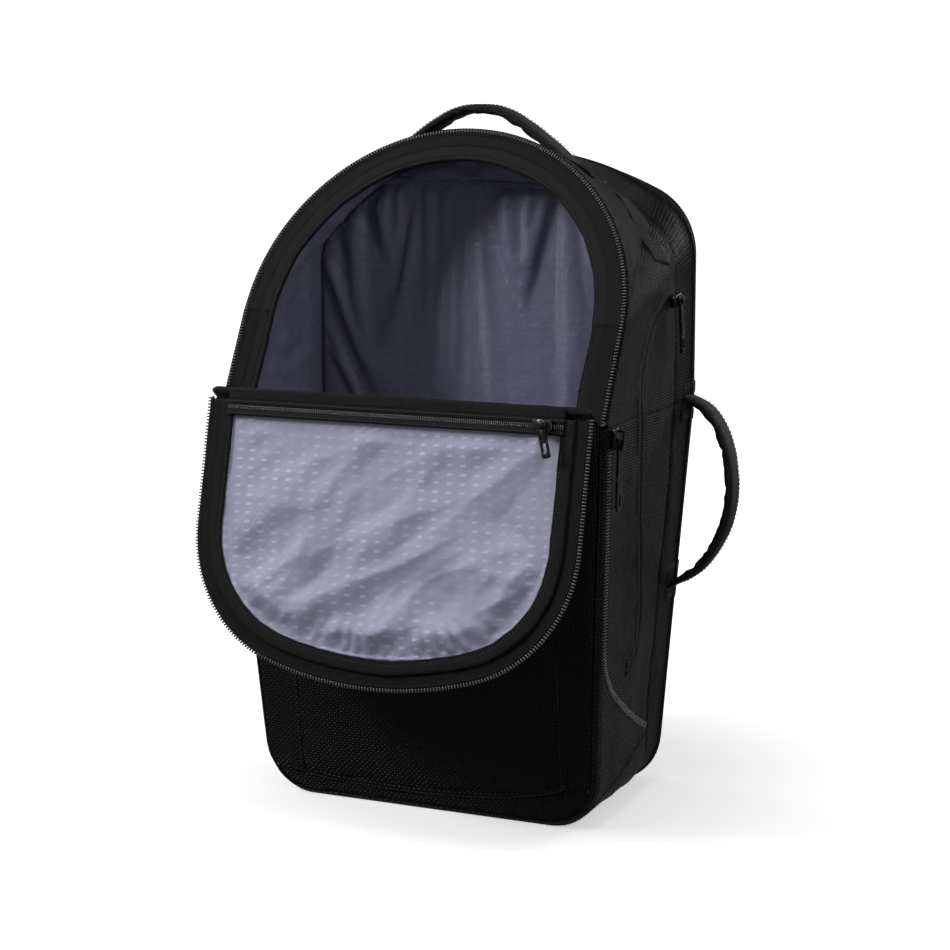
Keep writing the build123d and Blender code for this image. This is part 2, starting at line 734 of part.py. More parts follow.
tail_low_y = back_face + anchor_thick + run_gap + webbing_thick / 2
adjuster_y = strap_low_y - adjuster_thick / 2


def front_view(offset_y):
    """Plane seen from behind at a distance from the origin; its x runs with +X."""
    return Plane(origin=(0, offset_y, 0), x_dir=(1, 0, 0), z_dir=(0, -1, 0))


for side, sign in (("right", 1), ("left", -1)):
    with BuildPart() as shoulder_strap:
        with BuildSketch(front_view(0)):
            with BuildLine():
                ThreePointArc((sign * strap_top_x, yoke_bottom - run_gap),
                              (sign * (strap_low_x + 4), strap_mid_z),
                              (sign * strap_low_x, strap_low_z - 8))
            trace(line_width=strap_width)
        extrude(amount=-3 * back_face)
        add(strap_sheet, mode=Mode.INTERSECT)
        split(bisect_by=Plane.XY.offset(yoke_bottom - run_gap), keep=Keep.BOTTOM)
        split(bisect_by=Plane.XY.offset(strap_low_z), keep=Keep.TOP)
    save(shoulder_strap.part, "shoulder_strap_" + side)

    with BuildPart() as strap_adjuster:
        with BuildSketch(front_view(adjuster_y)):
            with Locations((sign * strap_low_x, strap_low_z - run_gap - adjuster_height / 2)):
                RectangleRounded(webbing_width + 12, adjuster_height, 4.0)
                with Locations((0, 6.0), (0, -6.0)):
                    Rectangle(webbing_width + 2, 4.0, mode=Mode.SUBTRACT)
        extrude(amount=-adjuster_thick)
    save(strap_adjuster.part, "strap_adjuster_" + side)

    with BuildPart() as strap_anchor:
        with BuildSketch(front_view(back_face)):
            with Locations((sign * anchor_x, anchor_z)):
                RectangleRounded(webbing_width + 8, anchor_height, 4.0)
        extrude(amount=-anchor_thick)
    save(strap_anchor.part, "strap_anchor_" + side)

    with BuildPart() as sternum_rail:
        with BuildSketch(front_view(0)):
            with Locations((sign * rail_x, sternum_z)):
                Rectangle(rail_width, 70.0)
        extrude(amount=-3 * back_face)
        add(rail_sheet, mode=Mode.INTERSECT)
    save(sternum_rail.part, "sternum_rail_" + side)

    tail_start = Vector(sign * strap_low_x, strap_low_y, strap_low_z - adjuster_height - tail_drop)
    tail_end = Vector(sign * anchor_x, tail_low_y, anchor_z - anchor_height / 2 + 2.0)
    tail_way = (tail_end - tail_start).normalized()
    tail_off = (Vector(0, 1, 0) - tail_way * tail_way.Y).normalized()
    tail_length = (tail_end - tail_start).length
    with BuildPart() as strap_webbing:
        with BuildSketch(Plane(origin=tail_start, x_dir=tail_way, z_dir=tail_off)):
            with Locations((tail_length / 2, 0)):
                Rectangle(tail_length, webbing_width)
        extrude(amount=webbing_thick / 2, both=True)
        with BuildSketch(Plane(origin=tail_end - tail_way * 12, x_dir=tail_way, z_dir=tail_off)):
            RectangleRounded(18.0, webbing_width + 6, 3.0)
        extrude(amount=hook_thick)
    save(strap_webbing.part, "strap_webbing_" + side)

    with BuildPart() as sternum_strap:
        with BuildSketch(front_view(sternum_y)):
            with Locations((sign * rail_x, sternum_z)):
                RectangleRounded(keeper_width, keeper_height, 3.0)
        extrude(amount=-keeper_thick)
        with BuildSketch(front_view(sternum_y + webbing_gap)):
            with Locations((sign * rail_x, sternum_z - sternum_length / 2)):
                Rectangle(sternum_width, sternum_length)
        extrude(amount=-webbing_thick)
    save(sternum_strap.part, "sternum_strap_" + side)

clip_top = sternum_z - sternum_length - run_gap
clip_level = sternum_y + webbing_gap + webbing_thick / 2
with BuildPart() as sternum_clip:
    with BuildSketch(front_view(clip_level)):
        with Locations((rail_x, clip_top - clip_height / 4)):
            Rectangle(clip_width, clip_height / 2)
        with Locations((rail_x, clip_top - clip_height * 3 / 4)):
            Rectangle(5.0, clip_height / 2)
        with Locations((rail_x - clip_width * 0.36, clip_top - clip_height * 3 / 4),
                       (rail_x + clip_width * 0.36, clip_top - clip_height * 3 / 4)):
            Rectangle(5.0, clip_height / 2)
    extrude(amount=clip_thick / 2 - 1.0, both=True)
save(sternum_clip.part, "sternum_clip")

with BuildPart() as sternum_buckle:
    with BuildSketch(front_view(clip_level)):
        with Locations((-rail_x, clip_top - clip_height / 2)):
            RectangleRounded(clip_width + 2, clip_height, 3.0)
    extrude(amount=clip_thick / 2, both=True)
    with BuildSketch(Plane.XY.offset(clip_top - clip_height)):
        with Locations((-rail_x, clip_level)):
            Rectangle(clip_width - 2, clip_thick - 2.4)
    extrude(amount=clip_height * 0.6, mode=Mode.SUBTRACT)
save(sternum_buckle.part, "sternum_buckle")

print("sternum pivot", rail_x, sternum_y, sternum_z)
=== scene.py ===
# %% [markdown]
# # A travel backpack, open at the front
#
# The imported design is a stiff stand-in: flat walls, plain bands and exact metal parts. A real bag is
# cut from cloth, so this script dresses the design. Every cloth part is made again as its own soft
# piece in the place that the design gives it, and the metal and plastic parts keep their shapes.
# Lengths below are millimetres in the outlines and metres in Blender, and `mm` turns one into the other.

from bisect import bisect
from math import atan2, ceil, cos, hypot, pi, radians, sin, sqrt, tan

import bmesh
import bpy
from mathutils import Matrix, Vector, noise
from mathutils.bvhtree import BVHTree


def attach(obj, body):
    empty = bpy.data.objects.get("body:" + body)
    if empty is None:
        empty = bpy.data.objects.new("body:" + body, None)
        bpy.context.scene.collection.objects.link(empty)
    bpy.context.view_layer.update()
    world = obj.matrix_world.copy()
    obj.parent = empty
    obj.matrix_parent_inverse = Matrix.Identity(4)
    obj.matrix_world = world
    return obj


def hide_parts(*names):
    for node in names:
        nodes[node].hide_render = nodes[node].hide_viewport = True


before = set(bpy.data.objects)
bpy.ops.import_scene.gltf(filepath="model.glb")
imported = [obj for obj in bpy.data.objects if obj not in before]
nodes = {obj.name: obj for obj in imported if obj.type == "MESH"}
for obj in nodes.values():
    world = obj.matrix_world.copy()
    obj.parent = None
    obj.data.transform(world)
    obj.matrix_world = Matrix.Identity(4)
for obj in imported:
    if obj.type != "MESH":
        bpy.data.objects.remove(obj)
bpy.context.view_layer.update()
mm = 0.001
right_left = (("right", 1), ("left", -1))

# %% [markdown]
# ## Camera
#
# The bag is looked at from a little above and from its right. A long lens keeps its upright edges
# nearly parallel, as in a catalogue view. The camera is placed by its direction from one target
# point, because an angle and a distance are easier to read than a matrix.

# %% Camera
camera_turn = radians(25.3)
camera_rise = radians(9.0)
camera_distance = 2.010
camera_target = Vector((0.011, 0.0, 0.272))
back = Vector((sin(camera_turn) * cos(camera_rise), -cos(camera_turn) * cos(camera_rise), sin(camera_rise)))
lens = bpy.data.cameras.new("camera")
lens.lens = 90.95
lens.sensor_width = 36.0
camera = bpy.data.objects.new("camera", lens)
bpy.context.scene.collection.objects.link(camera)
camera.location = camera_target + camera_distance * back
camera.rotation_euler = back.to_track_quat("Z", "Y").to_euler()
bpy.context.scene.camera = camera
print("camera at", tuple(round(c, 3) for c in camera.location))

# %% [markdown]
# ## Light and floor
#
# Black cloth shows its weave only where a light grazes it. Large soft lamps left and right draw long
# highlights down the edges, one in front lights the open flap, and a pale world fills the shadows.
# The floor is a wide white bowl, so no horizon line shows from any side. It glows a
# little for the camera only; otherwise so much white paper would turn the black cloth grey. The glow is
# weaker near the bag, so the lamps' shadow shows only close to it: a painted brightening of the floor
# away from the bag.

# %% Lamps
def soft_lamp(name, place, aim, size, power, colour=(1.0, 1.0, 1.0)):
    data = bpy.data.lights.new(name, "AREA")
    data.shape = "RECTANGLE"
    data.size, data.size_y = size
    data.energy = power
    data.color = colour
    lamp = bpy.data.objects.new(name, data)
    bpy.context.scene.collection.objects.link(lamp)
    lamp.location = place
    lamp.rotation_euler = (Vector(place) - Vector(aim)).to_track_quat("Z", "Y").to_euler()
    return lamp


soft_lamp("key_lamp", (-1.5, -1.35, 1.55), (0, 0, 0.3), (0.55, 0.55), 30)
soft_lamp("top_lamp", (0.1, -0.5, 2.1), (0, 0, 0.3), (1.0, 0.8), 14)
soft_lamp("side_lamp", (2.0, -0.9, 0.9), (0, 0, 0.3), (0.4, 1.2), 9)
soft_lamp("rear_lamp", (1.2, 2.0, 1.2), (0, 0, 0.3), (1.2, 1.0), 14)
soft_lamp("left_lamp", (-1.9, 0.6, 0.9), (0, 0, 0.3), (0.8, 1.4), 10)
world = bpy.data.worlds.new("studio")
world.use_nodes = True
world.node_tree.nodes["Background"].inputs["Color"].default_value = (0.97, 0.98, 1.0, 1.0)
world.node_tree.nodes["Background"].inputs["Strength"].default_value = 0.16
bpy.context.scene.world = world
bpy.context.scene.view_settings.view_transform = "Standard"
print("lamps", len(bpy.data.lights))

# %% [markdown]
# ## Shader arithmetic
#
# A pattern is mostly sums and products of where a point is. Wiring each Math node by hand hides the
# formula, so a socket is wrapped in a small class and Python's own operators add the nodes. One method
# makes every other node, and settings that change a node's sockets are set before its values.

# %% Sockets that can be added and multiplied
class Signal:
    """A node's output that Python's operators work on."""

    def __init__(self, finish, socket):
        self.finish = finish
        self.socket = socket

    def math(self, operation, first, second=0.0):
        return self.finish.node("ShaderNodeMath", {"operation": operation}, {0: first, 1: second})

    def __add__(self, other):
        return self.math("ADD", self, other)

    __radd__ = __add__

    def __mul__(self, other):
        return self.math("MULTIPLY", self, other)

    __rmul__ = __mul__

    def __sub__(self, other):
        return self.math("SUBTRACT", self, other)

    def __rsub__(self, other):
        return self.math("SUBTRACT", other, self)

    def __truediv__(self, other):
        return self.math("DIVIDE", self, other)

    def __pow__(self, other):
        return self.math("POWER", self, other)

    def floor(self):
        return self.math("FLOOR", self)

    def fract(self):
        return self.math("FRACT", self)

    def hump(self):
        """0 at every whole number and 1 half way between."""
        part = self.fract()
        return 4.0 * part * (1.0 - part)

    def below(self, other):
        return self.math("LESS_THAN", self, other)

    def odd(self):
        return self.math("FLOORED_MODULO", self.floor(), 2.0)

    def most(self, other):
        return self.math("MAXIMUM", self, other)

    def size(self):
        return self.math("ABSOLUTE", self)


class Finish:
    """A material in the making. node() takes a node's type, its settings and its inputs."""

    def __init__(self, name):
        self.material = bpy.data.materials.new(name)
        self.material.use_nodes = True
        self.tree = self.material.node_tree
        self.tree.nodes.clear()

    def node(self, kind, settings=None, inputs=None, output=0):
        made = self.tree.nodes.new(kind)
        for key, value in (settings or {}).items():
            if key == "stops":
                ramp = made.color_ramp
                while len(ramp.elements) < len(value):
                    ramp.elements.new(0.5)
                for element, (place, grey) in zip(ramp.elements, value):
                    element.position = place
                    element.color = (grey, grey, grey, 1.0)
            else:
                setattr(made, key, value)
        for key, value in (inputs or {}).items():
            if isinstance(value, Signal):
                self.tree.links.new(value.socket, made.inputs[key])
            else:
                made.inputs[key].default_value = value
        return Signal(self, made.outputs[output]) if made.outputs else None

    def place(self, source="Object"):
        """The three coordinates of the shaded point, in metres."""
        spot = self.node("ShaderNodeTexCoord", output=source)
        return [self.node("ShaderNodeSeparateXYZ", inputs={0: spot}, output=i) for i in range(3)]

    def noise(self, size, detail=3.0, source="Object", rough=0.55):
        """Cloudy values around 0.5; size is the width of a cloud in metres."""
        spot = self.node("ShaderNodeTexCoord", output=source)
        return self.node("ShaderNodeTexNoise", inputs={
            "Vector": spot, "Scale": 1.0 / size, "Detail": detail, "Roughness": rough})

    def mix(self, factor, first, second):
        """Between two colours."""
        return self.node("ShaderNodeMix", {"data_type": "RGBA"}, {0: factor, 6: first, 7: second}, output=2)

    def between(self, value, low, high):
        """Value from 0..1 spread over low..high."""
        return value * (high - low) + low

    def bump(self, height, distance, strength=1.0, normal=None):
        inputs = {"Height": height, "Distance": distance, "Strength": strength}
        if normal is not None:
            inputs["Normal"] = normal
        return self.node("ShaderNodeBump", inputs=inputs)

    def done(self, colour, rough, normal=None, metal=0.0, **fixed):
        """Ends the finish with one surface shader; fixed values go straight on its sockets."""
        inputs = {"Base Color": colour, "Roughness": rough, "Metallic": metal}
        if normal is not None:
            inputs["Normal"] = normal
        names = {"sheen": "Sheen Weight", "sheen_rough": "Sheen Roughness", "gloss": "Specular IOR Level",
                 "coat": "Coat Weight", "coat_rough": "Coat Roughness", "alpha": "Alpha",
                 "glow": "Emission Color", "glow_power": "Emission Strength"}
        for key, value in fixed.items():
            inputs[names[key]] = value
        surface = self.node("ShaderNodeBsdfPrincipled", inputs=inputs)
        self.node("ShaderNodeOutputMaterial", inputs={"Surface": surface})
        return self.material


def grey(level, tint=(1.0, 1.0, 1.0)):
    return (level * tint[0], level * tint[1], level * tint[2], 1.0)


print("shader helpers ready")

# %% [markdown]
# ## Floor
#
# A pale matt sheet. It is not part of the bag.

# %% Floor sheet
def add_mesh(name, shape, smooth=True):
    """Turns a bmesh into an object in the scene."""
    data = bpy.data.meshes.new(name)
    shape.to_mesh(data)
    shape.free()
    made = bpy.data.objects.new(name, data)
    bpy.context.scene.collection.objects.link(made)
    if smooth:
        data.polygons.foreach_set("use_smooth", [True] * len(data.polygons))
    return made


floor_radius = 7.0
sweep_start = 3.2
shape = bmesh.new()
bmesh.ops.create_circle(shape, cap_ends=True, segments=96, radius=sweep_start)
rim_edges = [e for e in shape.edges if e.is_boundary]
for ring in range(24):
    turn = (ring + 1) / 24 * radians(80)
    made = bmesh.ops.extrude_edge_only(shape, edges=rim_edges)
    fresh = [g for g in made["geom"] if isinstance(g, bmesh.types.BMVert)]
    for vertex in fresh:
        way = Vector((vertex.co.x, vertex.co.y, 0)).normalized()
        vertex.co = way * (sweep_start + (floor_radius - sweep_start) * sin(turn))
        vertex.co.z = (floor_radius - sweep_start) * (1 - cos(turn))
    rim_edges = [g for g in made["geom"] if isinstance(g, bmesh.types.BMEdge)]
bmesh.ops.recalc_face_normals(shape, faces=shape.faces)
floor_sheet = add_mesh("floor_sheet", shape)
pale = Finish("floor_paper")
x, y, z = pale.place()
# Painted light: the floor's glow is weaker within about 0.25 m of the bag and full white beyond about 0.75 m,
# so the lamps' shadow fades out away from the bag.
far = pale.node("ShaderNodeValToRGB", {"stops": [(0.06, 0.0), (0.55, 1.0)]}, {0: x * x + y * y})
floor_sheet.data.materials.append(pale.done(
    pale.mix(pale.noise(0.6), grey(0.80), grey(0.82)), pale.between(pale.noise(0.05), 0.82, 0.9), gloss=0.0,
    glow=pale.mix(far, grey(0.48), grey(1.0)), glow_power=1.0))
floor_sheet.visible_diffuse = False
floor_sheet.visible_glossy = False
print("floor", floor_radius, "m")

# %% [markdown]
# ## Woven cloth
#
# Ballistic nylon is a plain weave of thick yarns: each yarn bulges where it passes over and dips where
# it passes under. A checkerboard decides which yarn is on top, and a parabola across each cell rounds
# it. The maps follow each piece's own UV, which is laid out in metres, so a yarn has its true width
# and bends round corners with the cloth.

# %% Weaves
def weave(finish, pitch, source="UV", lean=0.0):
    """Height of a plain weave, 0 to 1, and which of the two yarns is on top."""
    u, v, depth = finish.place(source)
    across = (u + v * lean) / pitch
    along = (v - u * lean) / pitch
    top = (across.floor() + along.floor()).odd()
    warp = across.hump() * (along.hump() * 0.45 + 0.55)
    weft = along.hump() * (across.hump() * 0.45 + 0.55)
    return top * warp + (1.0 - top) * weft, top


def nylon(name, pitch, colour, dull=0.5):
    """Matt black pack cloth with a coarse weave, paler in clouds of wear and dust, with each yarn's crown
    painted lighter than its dips as painted highlight and shade.
    """
    f = Finish(name)
    height, top = weave(f, pitch)
    wear = f.noise(0.07, 4.0)
    dust = f.noise(0.012, 5.0)
    # Painted highlight and shade: the weave's height lightens each yarn's crown and darkens its dips, mixed
    # with random wear and dust tone.
    wear_and_weave_shading = (wear * 0.5 + dust * 0.5) * height
    tone = f.mix(wear_and_weave_shading, grey(colour * 0.35, (0.97, 0.98, 1.0)), grey(colour * 2.2, (0.98, 0.99, 1.0)))
    rough = f.between(top, dull - 0.07, dull + 0.05) + (wear - 0.5) * 0.12
    soft = f.bump(f.noise(0.03, 3.0), 0.0012, 0.35)
    return f.done(tone, rough, f.bump(height, pitch * 0.42, 1.0, soft), gloss=0.15, sheen=0.012,
                  sheen_rough=0.4)


ballistic = nylon("ballistic_nylon", 0.0023, 0.0040, 0.40)
boot_cloth = nylon("boot_nylon", 0.0028, 0.0042, 0.38)


def ribbed(name, pitch, colour, dull=0.62, slant=0.0, tint=(1.0, 1.0, 1.0), across_ribs=0.35):
    """Woven tape: fine ribs across its length, with the yarn's twist faintly over them."""
    f = Finish(name)
    u, v, depth = f.place("UV")
    ribs = ((u + v * slant) / pitch).hump()
    twist = ((v - u * 0.6) / (pitch * 0.8)).hump()
    height = ribs * (1.0 - across_ribs) + twist * across_ribs
    fluff = f.noise(0.006, 5.0)
    # Painted highlight and shade: the rib crowns are lighter and the grooves darker, mixed with the random
    # fluff tone.
    tone = f.mix(height * fluff, grey(colour * 0.4, tint), grey(colour * 2.2, tint))
    return f.done(tone, f.between(fluff, dull - 0.08, dull + 0.1), f.bump(height, pitch * 0.34, 0.9),
                  gloss=0.16, sheen=0.02, sheen_rough=0.4)


binding_cloth = ribbed("binding_tape", 0.0012, 0.0075, 0.6)
zip_cloth = ribbed("zip_tape", 0.0010, 0.0045, 0.55, slant=0.5)
webbing_cloth = ribbed("webbing", 0.0018, 0.0050, 0.46, across_ribs=0.5)
handle_cloth = ribbed("handle_fabric", 0.0010, 0.0050, 0.42, slant=0.3)
cord_cloth = ribbed("piping_cloth", 0.0012, 0.0045, 0.45, slant=0.8)

# %% [markdown]
# ## Lining cloth
#
# The lining is a thin, shiny nylon with small slanted marks woven in rows. A shiny cloth shows its
# creases by their highlights, so its roughness is low and the marks are a little smoother and paler
# than the ground. A fine ripstop grid sits under everything.

# %% Lining
mark_across = 0.0118
mark_along = 0.0072
mark_slant = 0.75


def lining(name, ground, mark, rough=0.38, contrast=0.5):
    f = Finish(name)
    u, v, depth = f.place("UV")
    row = v / mark_along
    column = (u - v * mark_slant) / mark_across + row.floor() * 0.5
    inside_row = (row.fract() - 0.5).size().below(0.15)
    inside_column = (column.fract() - 0.5).size().below(0.20)
    marks = inside_row * inside_column
    net = ((u - v * 0.62) / 0.0122).fract().below(0.05).most(((u + v * 1.1) / 0.0122).fract().below(0.05))
    patch = f.node("ShaderNodeValToRGB", {"stops": [(0.50, 0.0), (0.62, 1.0)]}, {0: f.noise(0.09, 2.0)})
    net = net * patch
    worn = f.node("ShaderNodeValToRGB", {"stops": [(0.36, 0.25), (0.62, 1.0)]}, {0: f.noise(0.05, 2.0)})
    marks = marks * worn
    yarn, top = weave(f, 0.0007)
    cloud = f.noise(0.03, 4.0)
    tone = f.mix(cloud, [c * 0.88 for c in ground[:3]] + [1.0], [c * 1.10 for c in ground[:3]] + [1.0])
    tone = f.mix(marks * contrast + net * (contrast * 0.45), tone, mark)
    gloss = f.between(cloud, rough - 0.05, rough + 0.07) - marks * 0.12
    crease = f.bump(f.noise(0.013, 4.0), 0.0011, 0.6)
    return f.done(tone, gloss, f.bump(yarn + marks * 0.8, 0.00016, 0.7, crease),
                  gloss=0.5, sheen=0.10, sheen_rough=0.3)


flap_lining_cloth = lining("lining_nylon", (0.36, 0.36, 0.50, 1.0), (0.64, 0.64, 0.78, 1.0), 0.30, 0.6)
# The lining inside the bag is the same nylon as the flap lining, painted about half as bright: painted shade
# for the inside of the bag.
shaded_lining_cloth = lining(
    "shaded_lining_nylon", (0.18, 0.18, 0.28, 1.0), (0.28, 0.28, 0.40, 1.0), 0.26, 0.35)


# %% [markdown]
# ## Metal, plastic, thread and foam
#
# The sliders are zinc with a black plating that wears bright on its corners. The wear follows a
# noise that only shows where it is high, because real rubbing is patchy. The buckles are moulded
# nylon with a fine grain. The pads wear an open mesh cloth over foam, drawn as staggered round holes
# that are painted darker than the mesh between them, as painted shade in the holes.

# %% Hard finishes
def plated(name, colour, bright, rough=0.3):
    f = Finish(name)
    rub = f.node("ShaderNodeValToRGB", {"stops": [(0.56, 0.0), (0.70, 1.0)]}, {0: f.noise(0.006, 5.0)})
    tone = f.mix(rub, grey(colour, (1.0, 0.99, 0.97)), grey(bright))
    scratch = f.noise(0.0012, 2.0)
    spread = f.between(f.noise(0.01), rough - 0.06, rough + 0.12)
    return f.done(tone, spread, f.bump(scratch, 0.00004, 0.5), 0.9)


def moulded(name, colour, rough=0.42):
    f = Finish(name)
    grain = f.noise(0.0011, 2.0)
    scuff = f.noise(0.02, 5.0)
    tone = f.mix(scuff, grey(colour * 0.8), grey(colour * 1.5))
    return f.done(tone, f.between(scuff, rough - 0.06, rough + 0.12), f.bump(grain, 0.00007, 0.7), gloss=0.5)


zip_metal = plated("zip_metal", 0.035, 0.16)
coil_plastic = moulded("zip_coil", 0.07, 0.15)
buckle_plastic = moulded("buckle_plastic", 0.016)
thread_finish = moulded("thread", 0.020, 0.5)


def mesh_cloth(name, colour):
    """Spacer mesh over black foam: round holes in staggered rows, painted darker than the mesh between them
    as painted shade in the holes.
    """
    f = Finish(name)
    u, v, depth = f.place("UV")
    pitch = 0.0034
    row = v / (pitch * 0.86)
    column = u / pitch + row.floor() * 0.5
    across = column.fract() - 0.5
    along = (row.fract() - 0.5) * 0.86
    hole = (across * across + along * along) ** 0.5
    rim = f.node("ShaderNodeValToRGB", {"stops": [(0.22, 0.0), (0.36, 1.0)]}, {0: hole})
    # Painted shade: the holes are far darker than the ridges between them, which a random noise varies a
    # little.
    tone = f.mix(rim * f.noise(0.01, 4.0), grey(colour * 0.25), grey(colour * 1.9))
    return f.done(tone, f.between(f.noise(0.02), 0.7, 0.85), f.bump(rim, 0.0009, 0.9), gloss=0.25,
                  sheen=0.2, sheen_rough=0.5)


back_mesh = mesh_cloth("back_mesh", 0.014)
stiff_sheet = moulded("stiffener_sheet", 0.05, 0.5)
print("finishes", len(bpy.data.materials))

# %% [markdown]
# ## Outlines of the bag
#
# The bag is a sleeve pulled between two hoops. The front hoop follows the mouth, which leans back, and
# below the fold it follows the upright front panel. The rear hoop is the edge of the back panel. Each
# hoop is five stretches above the fold and five below, and the wall between them is straight lines
# from a spot on one hoop to the matching spot on the other.

# %% Sizes shared with the design
fold_height = 334.0
front_y_high = -104.0
front_y_low = -70.0
rear_y = 94.0
lean = radians(27.0)
panel_slope = atan2(front_y_low - front_y_high, fold_height)
panel_run = hypot(front_y_high - front_y_low, fold_height)
mouth_height = 251.0
rear_top = 540.0
seam_y = 50.0
sleeve_y = 56.0
binding_in = 27.0


def straight(start, end):
    return lambda t: Vector(start).lerp(Vector(end), t)


def bend(centre, radius, start, end):
    def point(t):
        angle = start + t * (end - start)
        return Vector(centre) + radius * Vector((cos(angle), sin(angle)))

    return point


def arch(half, height, upright, corner):
    """Right side, right shoulder, crown, left shoulder, left side."""
    rise = height - upright
    crown = ((half - corner) ** 2 + rise ** 2 - corner ** 2) / (2 * (rise - corner))
    drop = crown - rise
    turn = atan2(drop, half - corner)
    return [
        straight((half, 0), (half, upright)),
        bend((half - corner, upright), corner, 0, turn),
        bend((0, upright - drop), crown, turn, pi - turn),
        bend((corner - half, upright), corner, pi - turn, pi),
        straight((-half, upright), (-half, 0)),
    ]


def trough(top, half_top, half_low, corner):
    """Left side downwards, left corner, base line, right corner, right side upwards."""
    flare = atan2(half_top - half_low, top)
    reach = corner / tan((pi / 2 + flare) / 2)
    centre = half_low - reach
    side_x = centre + corner * cos(flare)
    side_z = corner - corner * sin(flare)
    return [
        straight((-half_top, top), (-side_x, side_z)),
        bend((-centre, corner), corner, pi + flare, 3 * pi / 2),
        straight((-centre, 0), (centre, 0)),
        bend((centre, corner), corner, -pi / 2, -flare),
        straight((side_x, side_z), (half_top, top)),
    ]


def along(stretches, s):
    index = min(int(s), len(stretches) - 1)
    return stretches[index](s - index)


class Face:
    """A flat face with its own axes. at() gives the place of a spot on it."""

    def __init__(self, origin, across, outward):
        self.origin = Vector(origin)
        self.across = Vector(across)
        self.outward = Vector(outward)
        self.up = self.outward.cross(self.across)

    def at(self, x, y, lift=0.0):
        return self.origin + x * self.across + y * self.up + lift * self.outward


mouth_face = Face((0, front_y_high, fold_height), (1, 0, 0), (0, -cos(lean), sin(lean)))
panel_face = Face((0, front_y_low, 0), (1, 0, 0), (0, -cos(panel_slope), -sin(panel_slope)))
rear_face = Face((0, rear_y, fold_height), (1, 0, 0), (0, -1, 0))
rear_low_face = Face((0, rear_y, 0), (1, 0, 0), (0, -1, 0))
mouth_hoop = arch(170.0, mouth_height, 82.0, 132.0)
rear_hoop = arch(169.5, rear_top - fold_height, 121.0, 60.0)
panel_hoop = trough(panel_run, 170.0, 150.0, 45.0)
rear_low_hoop = trough(fold_height, 169.5, 140.0, 45.0)


def hull(s, w):
    """Spot on the plain wall: s goes round the hoops from 0 to 10, w from the front 0 to the rear 1."""
    s = s % 10.0
    if s < 5.0:
        front = mouth_face.at(*along(mouth_hoop, s))
        rear = rear_face.at(*along(rear_hoop, s))
    else:
        front = panel_face.at(*along(panel_hoop, s - 5.0))
        rear = rear_low_face.at(*along(rear_low_hoop, s - 5.0))
    return front.lerp(rear, w) if 0 <= w <= 1 else front + w * (rear - front)


def hull_normal(s, w):
    step = 0.004
    low = max(0.0, s - step) if s < 5.0 else max(5.0, s - step)
    high = min(4.9999, s + step) if s < 5.0 else min(9.9999, s + step)
    round_it = hull(high, w) - hull(low, w)
    rearwards = hull(s, 1.0) - hull(s, 0.0)
    return rearwards.cross(round_it).normalized()


def depth_share(s, y):
    """The w at which the wall reaches a depth y."""
    front, rear = hull(s, 0.0).y, hull(s, 1.0).y
    return (y - front) / (rear - front)


def stops(first, last, spacing):
    """Values of s between two stretches, about evenly spaced on the wall."""
    values = []
    for index in range(int(first), int(last)):
        length = (hull(index + 0.999, 0.5) - hull(index + 0.5, 0.5)).length * 2
        count = max(2, ceil(length / spacing))
        values += [index + i / count for i in range(count)]
    return values + [last - 1e-4]


print("wall at the crown", tuple(round(c) for c in hull(2.5, 0.0)), "normal", tuple(
    round(c, 2) for c in hull_normal(2.5, 0.0)))

# %% [markdown]
# ## Making cloth pieces
#
# Nearly every cloth part is a grid whose corners are moved to their places by a formula. The grid
# keeps its quads even, and its UV is written in metres at the same time, so the weave keeps its scale.
# A finished piece is put on its body of the design, the design solid it stands for is hidden, and it is given
# a finish.

# %% Grids and finishing
def grid_shape(columns, rows, place, size=(1.0, 1.0), ring=False):
    """A grid of cells moved into shape: place(i, j) gives a corner in millimetres, size the UV in metres.

    size may also be a function that gives the UV of corner i, j.
    """
    shape = bmesh.new()
    uv = shape.loops.layers.uv.new("cut")
    bmesh.ops.create_grid(shape, x_segments=columns, y_segments=rows, size=0.5)
    cell = {}
    for vertex in shape.verts:
        cell[vertex] = (round((vertex.co.x + 0.5) * columns), round((vertex.co.y + 0.5) * rows))
    for face in shape.faces:
        for loop in face.loops:
            i, j = cell[loop.vert]
            loop[uv].uv = size(i, j) if callable(size) else (i / columns * size[0], j / rows * size[1])
    for vertex, (i, j) in cell.items():
        vertex.co = Vector(place(i, j)) * mm
    if ring:
        bmesh.ops.remove_doubles(shape, verts=shape.verts, dist=2e-6)
    return shape


def cloth_thickness(piece, thick, rounds=0, offset=-1.0):
    solid = piece.modifiers.new("thickness", "SOLIDIFY")
    solid.thickness = thick * mm
    solid.offset = offset
    if rounds:
        smooth = piece.modifiers.new("rounds", "SUBSURF")
        smooth.levels = smooth.render_levels = rounds
    return piece


def finish_piece(piece, body, material, stands_for=()):
    piece.data.materials.clear()
    piece.data.materials.append(material)
    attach(piece, body)
    if stands_for:
        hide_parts(*([stands_for] if isinstance(stands_for, str) else stands_for))
    return piece


def ripple(spot, size, seed=0.0):
    """Smooth noise between about -1 and 1; size is the width of a wave in millimetres."""
    return noise.noise(Vector(spot) / size + Vector((seed, 1.7 * seed, 0.3 * seed))) * 1.6


def ease(value):
    value = min(1.0, max(0.0, value))
    return value * value * (3 - 2 * value)


# %% [markdown]
# ## The outer shell
#
# The real shell is foam-backed nylon, sewn from gussets and panels. It stands up by itself but bows
# between its seams, dips where a seam pulls it in and creases where it turns the corners. `skin` adds
# those to the plain wall. The dips stay small along the zips, because their sliders run at a fixed
# height. The walls are modelled rather than simulated: padded cloth this stiff barely moves.

# %% Shell relief
front_round = 9.0
rear_round = 9.0


def near_line(value, line, width):
    """1 on a line, fading to 0 a width away."""
    return max(0.0, 1.0 - abs(value - line) / width) ** 2


